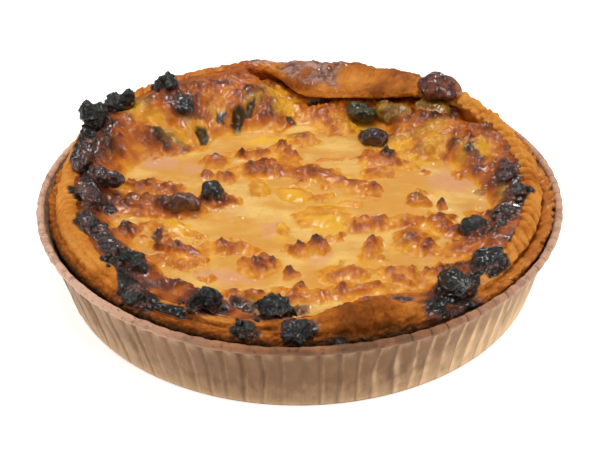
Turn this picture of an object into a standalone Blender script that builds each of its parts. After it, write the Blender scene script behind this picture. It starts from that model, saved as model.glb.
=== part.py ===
"""Apple tartlet in its baking case, 120 mm across.

A pleated paper case with a rolled rim holds a shell of shortcrust pastry. The shell holds a
lumpy baked filling, and browned and scorched pieces of apple stick out of the filling and
of the pastry's edge. Every piece is one closed solid.

Sizes are in millimetres and angles in degrees, anticlockwise from +X, seen from above. Each
finished mesh is scaled to metres. +Z is up and the case stands on Z = 0, centred on the axis.
"""

import math

import bmesh
import bpy
import numpy as np
from mathutils import Matrix, Vector, noise

MM = 0.001
GAP = 0.3  # clearance between neighbouring pieces

# Paper case
RIM_RADIUS = 60.0
RIM_HEIGHT = 18.5
BASE_RADIUS = 55.3
PAPER = 0.5  # thickness of its base and wall
PAPER_ON_SLOPE = 0.58  # the wall's thickness measured level, since the wall flares
ROLL_WIDTH = 2.4
ROLL_HEIGHT = 2.6
ROLL_CORNER = 0.8
PLEATS = 96
PLEAT_DEPTH = 0.35
FAINT_PLEAT_DEPTH = 0.15  # on the base's edge and round the roll

# Pastry shell
CRUST_FLOOR = 3.0
CRUST_BOTTOM = PAPER + GAP
CRUST_BASE_RADIUS = 54.1
CRUST_RIM_RADIUS = 56.6
CRUST_TOP_RADIUS = 52.9
CRUST_INNER_RADIUS = 51.1
CRUST_INNER_BASE_RADIUS = 50.5
CRUST_SHOULDER_RADIUS = 55.3
CRUST_SEAT = 1.5  # how far below the case's rim the pastry starts to lean in
SHOULDER_DROP = 0.4
LIP_DROP = 0.9
RIB_DEPTH = 0.4
SWELL = 0.6  # slow rise and fall of the crest round the tart
SWELL_SCALE = 0.11
FOLD_THICKNESS = 4.0
FOLD_LEAN = 0.25 # share of the fold by which the crest itself moves in
FOLD_DROOP = 0.12  # how much lower the lip hangs for each millimetre of fold
FOLD_CLEARANCE = 4.5  # how far in from the fold the filling starts to dip under it
FOLD_FULL_DIP = 1.5  # and where it is down to its full depth
FOLD_HEADROOM = 1.0
FOLD_MARGIN = 5.0  # how many degrees past the fold's ends the dip goes on
# Height of the pastry's crest round the tart, as (angle, height).
CREST = (
    (-180, 21.6),
    (-150, 21.0),
    (-135, 19.6),
    (-118, 18.6),
    (-98, 18.8),
    (-88, 20.0),
    (-77, 22.6),
    (-71, 21.6),
    (-66, 19.4),
    (-58, 18.8),
    (-42, 19.4),
    (-20, 20.6),
    (0, 21.4),
    (16, 22.6),
    (30, 23.4),
    (44, 25.2),
    (54, 24.6),
    (90, 24.8),
    (130, 24.8),
    (155, 25.6),
    (166, 24.6),
    (174, 22.6),
)
# How far the pastry folds in over the filling, as (angle, overhang).
FOLD = (
    (-180, 0.0),
    (32, 0.0),
    (38, 1.5),
    (46, 3.5),
    (54, 6.0),
    (62, 9.5),
    (70, 11.5),
    (78, 12.5),
    (88, 12.5),
    (92, 9.5),
    (96, 3.0),
    (100, 0.0),
    (180, 0.0),
)

# Filling
FILLING_BOTTOM = CRUST_BOTTOM + CRUST_FLOOR + GAP
FILLING_RADIUS = CRUST_INNER_RADIUS - GAP
FILLING_BASE_RADIUS = CRUST_INNER_BASE_RADIUS - GAP
GRID_CELLS = 36
POOL_HEIGHT = 16.0
POOL_EDGE = (0.7, 1.25)  # where a still pool starts and stops, in half sizes
ROUGHNESS = 0.55
ROUGHNESS_SCALE = 0.3
# The filling climbs to its edge from this radius, as (angle, radius), and up to this height.
CLIMB_START = (
    (-180, 41),
    (-135, 38),
    (-90, 42),
    (-45, 40),
    (-10, 38),
    (30, 30),
    (60, 26),
    (90, 24),
    (120, 25),
    (150, 34),
)
EDGE_HEIGHT = (
    (-180, 21.2),
    (-150, 20.6),
    (-120, 18.9),
    (-90, 19.2),
    (-77, 20.6),
    (-60, 19.0),
    (-30, 19.8),
    (0, 20.8),
    (30, 22.6),
    (48, 23.0),
    (62, 22.0),
    (90, 23.0),
    (104, 25.4),
    (130, 25.8),
    (155, 26.4),
    (166, 25.2),
    (174, 22.8),
)
# Mounds as (x, y, half length, half width, turn, rise).
MOUNDS = (
    (-8, 7, 8.5, 3.6, -4, 3.0),
    (3.5, 5, 4.5, 3.2, -20, 3.0),
    (11.5, 1, 6.0, 3.0, -32, 2.8),
    (-34, -4, 9.0, 3.6, -12, 2.6),
    (-23, -6, 5.0, 3.2, 10, 2.6),
    (-31, -13, 7.0, 4.0, 8, 1.6),
    (6, -13, 4.0, 4.6, 0, 1.5),
    (-17, -25, 4.4, 2.4, -8, 1.6),
    (-8, -30, 3.4, 2.6, 15, 2.0),
    (-31, -24, 6.5, 2.6, -28, 2.0),
    (-36, -34, 5.5, 3.4, -35, 1.6),
    (-24, -42, 6.0, 3.0, -10, 1.6),
    (15, -22, 2.8, 3.2, 35, 1.9),
    (25, -24, 3.0, 3.6, 10, 2.2),
    (18, -14, 5.0, 2.4, 6, 1.6),
    (9, -33, 3.8, 2.4, 0, 1.8),
    (21, -34, 4.2, 2.4, 0, 1.6),
    (14, -41, 8.0, 2.8, 5, 1.5),
    (31, -26, 5.0, 2.6, 30, 1.5),
    (27, -6, 2.6, 2.0, -20, 1.5),
    (21, 12, 4.6, 3.6, -10, 2.4),
    (30, 17, 5.4, 4.0, 20, 2.0),
    (41, 10, 3.4, 7.0, 5, 1.8),
    (1, 23, 4.4, 3.2, -20, 1.8),
    (-4, 17, 4.0, 2.4, -35, 1.6),
    (-14, 14, 2.6, 2.2, 0, 1.6),
    (-29, 21, 8.0, 2.6, 8, 1.5),
    (-9, 33, 6.0, 5.0, -60, 2.2),
    (6, 31, 3.6, 4.6, 0, 1.8),
    (-37, 28, 5.0, 4.6, 40, 1.6),
)
# Still pools of custard as (x, y, half length, half width, turn, height above the others).
POOLS = (
    (-31, 7.5, 12.0, 5.0, -14, 0.2),
    (-12, -13, 10.5, 6.5, -8, 0.5),
    (28, -2, 11.5, 6.0, -12, 0.3),
    (10, 15.5, 6.5, 4.5, -30, 0.3),
    (-12, 24, 8.0, 1.8, 4, 0.4),
    (-13, -37, 12.0, 3.0, -14, 0.6),
    (5, -27, 7.0, 3.4, 5, 0.4),
    (15, -8, 6.0, 2.4, -20, 0.3),
)

# Crags of the apple pieces: depth in half sizes, and (scale, share) of the two noises in it.
CRAG_DEPTH = 0.36
CRAGS = ((1.1, 1.0), (2.3, 0.6))
SEED_STEP = Vector((7.3, 2.1, 0.0))

# Scorched and browned pieces of apple as
# (name, angle, distance from the axis, height of its middle, half length, half width, half height, turn).
APPLE_PIECES = (
    ("apple_front_right", -54.5, 52.0, 20.2, 3.7, 3.5, 4.4, 20),
    ("apple_right_glossy", -41.7, 51.4, 20.2, 3.9, 3.0, 2.7, 40),
    ("apple_right_round", -27.0, 42.2, 18.3, 3.1, 2.9, 2.7, 15),
    ("apple_right_low", -19.5, 47.4, 19.6, 3.0, 2.1, 1.9, 35),
    ("apple_right_middle", -10.5, 49.8, 21.0, 2.7, 2.0, 1.9, 80),
    ("apple_right_high", -2.2, 47.6, 21.6, 2.9, 2.1, 2.0, 60),
    ("apple_knob", 43.5, 49.3, 26.0, 5.6, 4.0, 2.6, -40),
    ("apple_soft_right", 41.5, 46.2, 20.8, 4.4, 3.4, 2.5, -45),
    ("apple_soft_back", 51.5, 40.0, 19.6, 4.6, 3.0, 2.4, -35),
    ("apple_skin_back", 63.5, 35.8, 19.8, 3.8, 2.2, 2.0, -35),
    ("apple_dark_back", 48.6, 28.2, 18.6, 3.6, 2.3, 1.9, -15),
    ("apple_spike_left", 133.5, 49.6, 26.0, 3.2, 2.6, 2.6, -50),
    ("apple_oval_left", 134.8, 41.8, 22.9, 4.0, 2.5, 2.3, -55),
    ("apple_crest_left", 149.5, 52.2, 26.8, 4.6, 2.6, 2.1, 52),
    ("apple_corner_left", 160.9, 53.0, 26.8, 3.8, 2.8, 2.7, 70),
    ("apple_ridge_left", 172.0, 50.6, 22.6, 7.6, 2.3, 2.1, 82),
    ("apple_strip_left", -177.5, 44.6, 21.2, 5.8, 2.3, 1.8, -18),
    ("apple_bar_left", -168.5, 48.0, 21.0, 4.4, 2.2, 1.8, -42),
    ("apple_dark_middle", -166.0, 20.2, 19.0, 2.8, 2.6, 2.4, 30),
    ("apple_brown_middle", -161.5, 28.4, 18.8, 4.8, 2.4, 2.1, 0),
    ("apple_patch_left", -154.1, 48.8, 20.6, 4.0, 2.5, 1.9, -30),
    ("apple_black_left", -137.5, 48.0, 19.6, 5.2, 2.8, 2.1, -48),
    ("apple_edge_left", -126.0, 54.4, 19.0, 4.2, 2.1, 1.7, -36),
    ("apple_spike_front", -111.8, 50.0, 20.0, 3.5, 2.9, 3.0, -10),
    ("apple_black_front", -95.9, 49.2, 19.6, 3.8, 2.7, 2.6, -20),
    ("apple_drip_front", -101.1, 55.0, 18.5, 1.7, 1.5, 2.0, -10),
    ("apple_lip_front", -90.6, 55.0, 19.0, 2.7, 1.8, 1.9, 0),
)

COLOURS = {
    "paper": ((0.42, 0.24, 0.14, 1.0), 0.75),
    "pastry": ((0.62, 0.28, 0.06, 1.0), 0.6),
    "filling": ((0.85, 0.52, 0.16, 1.0), 0.35),
    "apple_scorched": ((0.05, 0.04, 0.035, 1.0), 0.4),
    "apple_soft": ((0.45, 0.36, 0.1, 1.0), 0.3),
}


def material(name):
    """The named finish, made once."""
    found = bpy.data.materials.get(name)
    if found:
        return found
    made = bpy.data.materials.new(name)
    made.use_nodes = True
    shader = made.node_tree.nodes["Principled BSDF"]
    colour, roughness = COLOURS[name]
    shader.inputs["Base Color"].default_value = colour
    shader.inputs["Roughness"].default_value = roughness
    shader.inputs["Metallic"].default_value = 0.0
    return made


def object_from(bm, name, finish, collection):
    """An object made from a bmesh, which is freed."""
    bmesh.ops.recalc_face_normals(bm, faces=bm.faces)
    mesh = bpy.data.meshes.new(name)
    bm.to_mesh(mesh)
    bm.free()
    mesh.materials.append(material(finish))
    made = bpy.data.objects.new(name, mesh)
    collection.objects.link(made)
    return made


def round_the_tart(keys, angle):
    """The value of an (angle, value) list at an angle, in degrees, joined up past 180."""
    angles, values = zip(*keys)
    return np.interp(angle, angles, values, period=360)


def smooth_step(low, high, value):
    share = np.clip((value - low) / (high - low), 0.0, 1.0)
    return share * share * (3 - 2 * share)


def polar(angle, radius):
    """(x, y) of a point at an angle in degrees."""
    return radius * math.cos(math.radians(angle)), radius * math.sin(math.radians(angle))


def turned(rows, steps):
    """A closed bmesh turned from named rows of points, the first and the last on the axis.

    Each vertex keeps the number of its row in the layer "row".
    """
    bm = bmesh.new()
    layer = bm.verts.layers.int.new("row")
    points = [bm.verts.new((radius, 0.0, height)) for radius, height in rows.values()]
    for number, point in enumerate(points):
        point[layer] = number
    edges = [bm.edges.new(pair) for pair in zip(points, points[1:])]
    bmesh.ops.spin(
        bm,
        geom=points + edges,
        cent=(0, 0, 0),
        axis=(0, 0, 1),
        angle=math.tau,
        steps=steps,
        use_merge=True,
    )
    bmesh.ops.remove_doubles(bm, verts=bm.verts, dist=1e-4)
    return bm


def column_of(vertex, steps):
    """Which of the turned profiles a vertex belongs to."""
    return round(math.atan2(vertex.co.y, vertex.co.x) / math.tau * steps) % steps


def push_out(vertex, distance):
    """Moves a vertex away from the axis."""
    radius = math.hypot(vertex.co.x, vertex.co.y)
    if radius > 0.0:
        vertex.co.x *= 1.0 + distance / radius
        vertex.co.y *= 1.0 + distance / radius


def paper_case(collection):
    """The case: a flat base, a flared wall with sharp pleats and a tightly rolled rim."""
    roll_radius = RIM_RADIUS - ROLL_WIDTH
    roll_bottom = RIM_HEIGHT - ROLL_HEIGHT
    rows = {
        "middle": (0.0, 0.0),
        "base edge": (BASE_RADIUS, 0.0),
        "wall top": (roll_radius + 0.5 * PAPER, roll_bottom + PAPER),
        "roll bottom": (RIM_RADIUS - ROLL_CORNER, roll_bottom),
        "roll side": (RIM_RADIUS, RIM_HEIGHT - 0.5 * ROLL_HEIGHT),
        "roll top": (RIM_RADIUS - ROLL_CORNER, RIM_HEIGHT),
        "roll inside": (roll_radius, RIM_HEIGHT - 0.5 * PAPER),
        "floor edge": (BASE_RADIUS - PAPER_ON_SLOPE, PAPER),
        "floor middle": (0.0, PAPER),
    }
    pleat = {
        "base edge": FAINT_PLEAT_DEPTH,
        "wall top": PLEAT_DEPTH,
        "roll bottom": FAINT_PLEAT_DEPTH,
        "roll side": FAINT_PLEAT_DEPTH,
        "roll top": FAINT_PLEAT_DEPTH,
        "roll inside": PLEAT_DEPTH,
        "floor edge": FAINT_PLEAT_DEPTH,
    }
    names = list(rows)
    steps = 2 * PLEATS
    bm = turned(rows, steps)
    layer = bm.verts.layers.int["row"]
    for vertex in bm.verts:
        if column_of(vertex, steps) % 2:
            push_out(vertex, -pleat.get(names[vertex[layer]], 0.0))
    return object_from(bm, "paper_case", "paper", collection)


def fold_underside(angle):
    """Height of the underside of the pastry's fold at an angle."""
    return round_the_tart(CREST, angle) - FOLD_THICKNESS


def shape_pastry_edge(vertex, row, steps):
    """Moves a vertex of the round shell to its place on the uneven, ribbed pastry edge."""
    angle = math.degrees(math.atan2(vertex.co.y, vertex.co.x))
    crest = float(round_the_tart(CREST, angle))
    fold = float(round_the_tart(FOLD, angle))
    rib = RIB_DEPTH if column_of(vertex, steps) % 2 else -RIB_DEPTH
    swell = SWELL * noise.noise(Vector((vertex.co.x, vertex.co.y, 0.0)) * SWELL_SCALE)
    if row == "shoulder":
        push_out(vertex, 0.5 * rib + swell)
        vertex.co.z = 0.5 * (crest + RIM_HEIGHT) - SHOULDER_DROP
    elif row == "crest":
        push_out(vertex, 0.5 * rib + 0.5 * swell - FOLD_LEAN * fold)
        vertex.co.z = crest + 0.5 * rib + swell
    elif row == "lip":
        push_out(vertex, -fold)
        vertex.co.z = crest - LIP_DROP - FOLD_DROOP * fold
    elif row == "underside":
        push_out(vertex, -fold)
        vertex.co.z = fold_underside(angle)
    elif row == "root":
        vertex.co.z = fold_underside(angle) - SHOULDER_DROP


def pastry_shell(collection):
    """The shell: a flat floor and a wall whose ribbed edge leans in and folds over at the back."""
    floor_top = CRUST_BOTTOM + CRUST_FLOOR
    rows = {
        "middle": (0.0, CRUST_BOTTOM),
        "foot": (CRUST_BASE_RADIUS, CRUST_BOTTOM),
        "rim": (CRUST_RIM_RADIUS, RIM_HEIGHT - CRUST_SEAT),
        "shoulder": (CRUST_SHOULDER_RADIUS, RIM_HEIGHT),
        "crest": (CRUST_TOP_RADIUS, RIM_HEIGHT),
        "lip": (CRUST_INNER_RADIUS, RIM_HEIGHT),
        "underside": (CRUST_INNER_RADIUS, RIM_HEIGHT - 1.0),
        "root": (CRUST_INNER_RADIUS, RIM_HEIGHT - 2.0),
        "inner foot": (CRUST_INNER_BASE_RADIUS, floor_top),
        "inner middle": (0.0, floor_top),
    }
    names = list(rows)
    steps = 2 * PLEATS
    bm = turned(rows, steps)
    layer = bm.verts.layers.int["row"]
    for vertex in bm.verts:
        shape_pastry_edge(vertex, names[vertex[layer]], steps)
    return object_from(bm, "pastry_crust", "pastry", collection)


def in_own_axes(x, y, form):
    """Offsets from a form's middle along its length and across it, in half sizes."""
    middle_x, middle_y, length, width, turn = form[:5]
    cos, sin = math.cos(math.radians(turn)), math.sin(math.radians(turn))
    along = (x - middle_x) * cos + (y - middle_y) * sin
    across = (y - middle_y) * cos - (x - middle_x) * sin
    return along / length, across / width


def filling_height(x, y):
    """Height of the filling's top at a point inside the shell."""
    radius = math.hypot(x, y)
    angle = math.degrees(math.atan2(y, x))
    climb = smooth_step(round_the_tart(CLIMB_START, angle), FILLING_RADIUS, radius)
    height = POOL_HEIGHT + (round_the_tart(EDGE_HEIGHT, angle) - POOL_HEIGHT) * climb
    for mound in MOUNDS:
        along, across = in_own_axes(x, y, mound)
        height += mound[5] * math.exp(-(along**2 + across**2))
    height += ROUGHNESS * noise.fractal(Vector((x, y, 0.0)) * ROUGHNESS_SCALE, 1.0, 2.0, 2)
    for pool in POOLS:
        along, across = in_own_axes(x, y, pool)
        still = 1 - smooth_step(*POOL_EDGE, math.hypot(along, across))
        height += still * (POOL_HEIGHT + pool[5] - height)
    nearby = (angle - FOLD_MARGIN, angle, angle + FOLD_MARGIN)
    fold = max(round_the_tart(FOLD, nearby))
    if fold > 0.0:
        past_the_lip = radius - (CRUST_INNER_RADIUS - fold)
        under = smooth_step(-FOLD_CLEARANCE, -FOLD_FULL_DIP, past_the_lip)
        ceiling = min(fold_underside(near) for near in nearby) - FOLD_HEADROOM
        height += under * min(0.0, ceiling - height)
    return float(height)


def disc_from_square(bm, radius):
    """Moves the points of a grid from -1 to 1 so that it becomes a disc with even cells."""
    for vertex in bm.verts:
        x, y = vertex.co.x, vertex.co.y
        if abs(x) > abs(y):
            reach, turn = x, y / x * math.pi / 4
        elif y != 0.0:
            reach, turn = y, math.pi / 2 - x / y * math.pi / 4
        else:
            continue
        vertex.co.x = radius * reach * math.cos(turn)
        vertex.co.y = radius * reach * math.sin(turn)


def filling(collection):
    """The filling: an uneven top over a plug that fills the shell down to its floor."""
    bm = bmesh.new()
    bmesh.ops.create_grid(bm, x_segments=GRID_CELLS, y_segments=GRID_CELLS, size=1.0)
    disc_from_square(bm, FILLING_RADIUS)
    rim = [edge for edge in bm.edges if edge.is_boundary]
    top = list(bm.verts)
    skirt = bmesh.ops.extrude_edge_only(bm, edges=rim)["geom"]
    for vertex in top:
        vertex.co.z = filling_height(vertex.co.x, vertex.co.y)
    base = [item for item in skirt if isinstance(item, bmesh.types.BMVert)]
    for vertex in base:
        push_out(vertex, FILLING_BASE_RADIUS - FILLING_RADIUS)
        vertex.co.z = FILLING_BOTTOM
    bmesh.ops.contextual_create(bm, geom=base)
    return object_from(bm, "filling", "filling", collection)


def apple_bmesh(piece, order, grow):
    """One craggy piece of apple, its surface moved out by grow."""
    _, angle, distance, height, length, width, rise, turn = piece
    bm = bmesh.new()
    bmesh.ops.create_icosphere(bm, subdivisions=2, radius=1.0)
    for vertex in bm.verts:
        place = vertex.co.copy()
        for scale, share in CRAGS:
            vertex.co += place * CRAG_DEPTH * share * noise.noise(place * scale + order * SEED_STEP)
    bmesh.ops.scale(bm, vec=(length, width, rise), verts=bm.verts)
    bm.normal_update()
    for vertex in bm.verts:
        vertex.co += vertex.normal * grow
    x, y = polar(angle, distance)
    place = Matrix.Translation((x, y, height)) @ Matrix.Rotation(math.radians(turn), 4, "Z")
    bmesh.ops.transform(bm, matrix=place, verts=bm.verts)
    return bm


def apple_pieces(collection, cutters):
    """Every piece of apple, and a slightly larger cutter that makes its seat."""
    for order, piece in enumerate(APPLE_PIECES):
        finish = "apple_soft" if "soft" in piece[0] else "apple_scorched"
        object_from(apple_bmesh(piece, order, 0.0), piece[0], finish, collection)
        seat = object_from(apple_bmesh(piece, order, GAP), f"seat_{order}", finish, cutters)
        seat.hide_render = True
        seat.display_type = "WIRE"


def cut_seats(host, cutters):
    """Cuts the seats of the apple pieces out of the host, and applies the cut."""
    cut = host.modifiers.new("seats", "BOOLEAN")
    cut.operation = "DIFFERENCE"
    cut.operand_type = "COLLECTION"
    cut.collection = cutters
    cut.solver = "EXACT"
    bpy.context.view_layer.update()
    graph = bpy.context.evaluated_depsgraph_get()
    mesh = bpy.data.meshes.new_from_object(host.evaluated_get(graph))
    host.modifiers.clear()
    host.data = mesh


def keep_largest_body(host):
    """Drops loose crumbs that the cuts leave."""
    bm = bmesh.new()
    bm.from_mesh(host.data)
    left, bodies = set(bm.verts), []
    while left:
        body, front = set(), [left.pop()]
        while front:
            vertex = front.pop()
            body.add(vertex)
            near = {edge.other_vert(vertex) for edge in vertex.link_edges} & left
            left -= near
            front.extend(near)
        bodies.append(body)
    bodies.sort(key=len)
    crumbs = [vertex for body in bodies[:-1] for vertex in body]
    bmesh.ops.delete(bm, geom=crumbs, context="VERTS")
    bm.to_mesh(host.data)
    bm.free()


def new_collection(name):
    made = bpy.data.collections.new(name)
    bpy.context.scene.collection.children.link(made)
    return made


def main():
    for old in list(bpy.data.objects):
        bpy.data.objects.remove(old)
    tartlet = new_collection("apple_tartlet")
    cutters = new_collection("apple_seats")
    paper_case(tartlet)
    crust = pastry_shell(tartlet)
    custard = filling(tartlet)
    apple_pieces(tartlet, cutters)
    for host in (crust, custard):
        cut_seats(host, cutters)
        keep_largest_body(host)
    for cutter in list(cutters.objects):
        bpy.data.objects.remove(cutter)
    bpy.data.collections.remove(cutters)
    for piece in tartlet.objects:
        piece.data.transform(Matrix.Scale(MM, 4))
        piece.data.shade_smooth()
        piece.data.set_sharp_from_angle(angle=math.radians(40))


main()
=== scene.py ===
"""The finished look of a baked apple tartlet in its pleated paper case.

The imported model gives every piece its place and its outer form. Each piece is modelled again
here with its fine relief: the pleats and the rolled rim of the paper, the ribbed pastry edge, the
lumpy filling with its still pools and browned tips, and the scorched pieces of apple.

Lengths in the mesh code are in millimetres and angles in radians, anticlockwise from +X seen
from above. The last step of each piece scales it to metres.
"""

import itertools
import math

import bmesh
import bpy
import numpy as np
from bpy.props import FloatProperty, FloatVectorProperty, IntProperty, PointerProperty
from mathutils import Matrix, Vector
from mathutils.bvhtree import BVHTree


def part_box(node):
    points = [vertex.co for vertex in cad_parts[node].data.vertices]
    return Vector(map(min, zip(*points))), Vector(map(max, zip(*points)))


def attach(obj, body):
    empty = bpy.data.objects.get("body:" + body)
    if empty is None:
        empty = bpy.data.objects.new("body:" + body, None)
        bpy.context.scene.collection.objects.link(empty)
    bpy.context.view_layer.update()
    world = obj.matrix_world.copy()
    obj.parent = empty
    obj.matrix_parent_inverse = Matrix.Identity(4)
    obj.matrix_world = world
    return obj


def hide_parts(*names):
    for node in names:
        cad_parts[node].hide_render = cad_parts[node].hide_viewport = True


bl_info = {
    "name": "Apple Tartlet",
    "version": (1, 0, 0),
    "blender": (4, 5, 0),
    "location": "View3D > Sidebar > Tartlet",
    "description": "Builds the finished pieces of a baked apple tartlet in its paper case",
    "category": "Object",
}

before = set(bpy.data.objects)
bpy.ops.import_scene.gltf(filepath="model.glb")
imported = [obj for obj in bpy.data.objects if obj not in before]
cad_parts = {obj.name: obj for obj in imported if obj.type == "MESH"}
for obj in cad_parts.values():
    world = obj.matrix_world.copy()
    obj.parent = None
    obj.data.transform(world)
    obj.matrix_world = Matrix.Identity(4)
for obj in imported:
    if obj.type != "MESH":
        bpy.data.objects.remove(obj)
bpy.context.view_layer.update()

MM = 0.001
BODY = "root"
ABOVE_ALL = 60.0  # height that rays are cast down from
DOWN = Vector((0, 0, -1))


def node_box(node):
    """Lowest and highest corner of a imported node, in millimetres."""
    low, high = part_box(node)
    return np.array(low) / MM, np.array(high) / MM


CASE_HIGH = node_box("paper_case")[1]
CRUST_LOW, CRUST_HIGH = node_box("pastry_crust")
FILLING_LOW, FILLING_HIGH = node_box("filling")

# Camera
CAMERA_PLACE = (0.05, -198.8, 140.0)
CAMERA_DROP = 34.0  # degrees below level
CAMERA_ROLL = -0.49
LENS = 60.0
SENSOR = 36.0
SIGHT_LEVEL = 17.0  # features are listed where they show on this level from the camera

# Lights: name, place and size in metres, and share of the key light's power
LIGHTS = (
    ("key_light", (-0.05, 0.04, 0.52), 0.2, 1.0),
    ("right_light", (0.44, -0.14, 0.14), 0.16, 0.32),
    ("left_light", (-0.42, -0.12, 0.18), 0.16, 0.24),
    ("glint_light", (0.16, 0.36, 0.30), 0.045, 0.1),
    ("left_glint_light", (-0.34, 0.22, 0.32), 0.045, 0.1),
    ("front_light", (0.12, -0.26, 0.42), 0.08, 0.26),
)

# Paper case
RIM_RADIUS = CASE_HIGH[0]
RIM_HEIGHT = CASE_HIGH[2]
BASE_RADIUS = 55.3
ROLL_RADIUS = 0.85
ROLL_HEIGHT = 0.9
PAPER = 0.5
PLEAT_STEPS = 16  # vertices round each pleat

# Pastry
EDGE_STEPS = 1080
EDGE_ROWS = 88
CRUST_FLOOR = 3.0

# Filling
FILLING_CELLS = 300
FILLING_RADIUS = FILLING_HIGH[0] + 0.7
POOL_LEVEL = 16.25
SEAT_ROUNDS = 260  # how often the seats are drawn towards what lies round them

# Mounds that stand out of the still custard:
# x, y, half length, half width, turn in degrees, rise, cragginess
MOUNDS = (
    (-33.5, 19.5, 8.5, 3.2, 4, 1.9, 0.8), (-20.5, 13, 3.2, 3, 0, 1.8, 0.9),
    (-14, 15.5, 3, 2.2, -10, 1.6, 0.8), (-10.5, 16, 3.6, 2.6, -15, 1.6, 0.7),
    (-3.5, 17, 4.8, 2.5, -58, 2.6, 0.8), (-9, 9.5, 7, 3.6, 8, 2.5, 0.7), (-9.5, 1, 2.4, 3.4, 0, 2, 0.1),
    (-17.5, 5, 2.6, 2.2, 0, 1.8, 0.9), (-22.5, 5.5, 2, 1.6, 0, 1.2, 0.8),
    (-36, 1.2, 8.8, 2.6, -6, 1.9, 0.9), (-36, -5.5, 8, 4, -10, 2.4, 0.5),
    (-27.5, -7.8, 6, 3, -8, 2.6, 0.3), (-19.6, -4.4, 3.6, 2.6, 0, 2.2, 0.3),
    (-15.5, -5.5, 2.4, 1.6, -30, 1.4, 0.4), (-29, -16, 6.5, 2.8, -22, 1.8, 0.4),
    (-23.5, -19.3, 3.6, 1.3, -32, 1.2, 0.2), (-38, -17, 2.7, 3.2, 0, 2.5, 0.9),
    (-15, -23.8, 5.4, 2.6, -6, 1.9, 0.3), (-26, -24.5, 7.2, 2.3, -24, 1.8, 0.6),
    (-27, -29, 7, 2, -14, 1.5, 0.4), (-8.5, -30, 4.2, 3.2, 15, 2.2, 0.9),
    (-2.3, -33.6, 1.8, 1.8, 0, 1.7, 0.5), (-0.6, -25, 2.6, 2.4, 0, 1.9, 0.5),
    (-12, -41, 5.5, 2, -6, 1.7, 0.9), (-19, -35.5, 1.6, 1.2, 0, 0.8, 0.4),
    (-28, -40, 6, 2.8, -20, 1.5, 0.9), (0, -40.5, 6.4, 2.6, -4, 1.6, 0.6),
    (5.5, 6, 10, 3.3, -30, 2.5, 0.1), (13.5, 1, 5.5, 3, -36, 2.3, 0.1), (17.2, -1.4, 2.2, 2.4, 0, 2, 0.4),
    (5.3, -4.6, 2.2, 1.8, 0, 1, 0.1), (12, -7.5, 3, 1.7, -10, 1.1, 0.3), (-1, -3, 4.6, 3.2, -20, 1, 0),
    (5, -12.5, 6.2, 5, 0, 1.3, 0.1), (-3.5, -17.5, 1.6, 3, 20, 1, 0.3),
    (21, 13.5, 5.6, 4.2, -10, 2.4, 0.9), (18.5, 7, 3.8, 2.2, 10, 1.9, 0.4),
    (27.5, 9.5, 2.4, 1.6, -10, 1.2, 0.6), (38, 5.8, 1.7, 1.9, 0, 1.4, 0.2), (30, 5.5, 0.9, 1, 0, 1, 0.3),
    (27.3, -5.8, 2.6, 2.8, -35, 2.3, 0.9), (32.2, -8.2, 1.2, 1.5, 0, 1.4, 0.6),
    (15.5, -15, 5.6, 2.8, 8, 2, 0.8), (24, -13.5, 3.4, 2.8, 0, 1.8, 0.4),
    (25, -21.5, 4.4, 4.4, -30, 2.4, 0.9), (15.2, -24.5, 2, 4.6, -28, 2.1, 0.5),
    (3.8, -23, 2.6, 2.6, 0, 2.3, 0.8), (8, -21, 2.4, 1.6, 0, 1, 0.4), (9.5, -33.5, 5.6, 3.2, 4, 1.8, 0.6),
    (12, -39, 7.6, 2.6, 4, 1.6, 0.5), (20.5, -34, 4.6, 3, -20, 1.8, 0.7),
    (17, -29, 1.8, 0.8, 0, 0.8, 0.3), (37, -23.5, 7.5, 2.4, 24, 2, 0.8),
    (31.5, -15, 3.2, 4.8, 20, 2.1, 0.7), (29, -33.5, 4, 2.6, 30, 1.8, 0.9), (41, -13, 4, 3, 0, 1.8, 0.8),
    (29.5, 17.5, 6, 4.2, 20, 2.2, 0.8), (40.5, 12.5, 4, 6, 5, 1.6, 0.7), (36, 25, 5, 4, -20, 1.8, 0.6),
    (25.5, 23.5, 3.4, 3, 0, 1.8, 0.8), (1, 23.5, 4.4, 3.2, -20, 1.8, 0.3),
    (9, 12.3, 6.5, 0.7, 6, 0.6, 0.2), (10, 30, 5, 4, 0, 1.8, 0.6), (-8, 33, 6, 4, -50, 1.8, 0.6),
    (-26, 25, 3, 2.6, 0, 1.2, 0.4),
)
# Pinkish patches on the pools, a painted reflection of the surroundings: x, y, half length, half width,
# turn, strength
PINK_REFLECTIONS = (
    (-35, 11.5, 7, 3.6, -10, 1), (-26, 8, 4, 3, -10, 0.6), (35.5, 1, 6, 6, -20, 1),
    (-14, -35.5, 7, 2.6, -14, 0.9), (-19, -34, 3, 2, 0, 0.9), (3.8, -27, 3, 4, 0, 0.8),
    (-7, 27, 4, 2, 0, 0.5), (-15, -11, 3, 2.4, 0, 0.5), (-14, 3.5, 2.4, 1.4, 0, 0.5),
    (-6, -18, 2, 4, -10, 0.8), (17, -43, 8, 1.6, 8, 0.9), (-41, -8, 5, 2.4, -30, 0.6),
    (25, -29, 5, 1.4, 0, 0.4),
)
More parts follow.
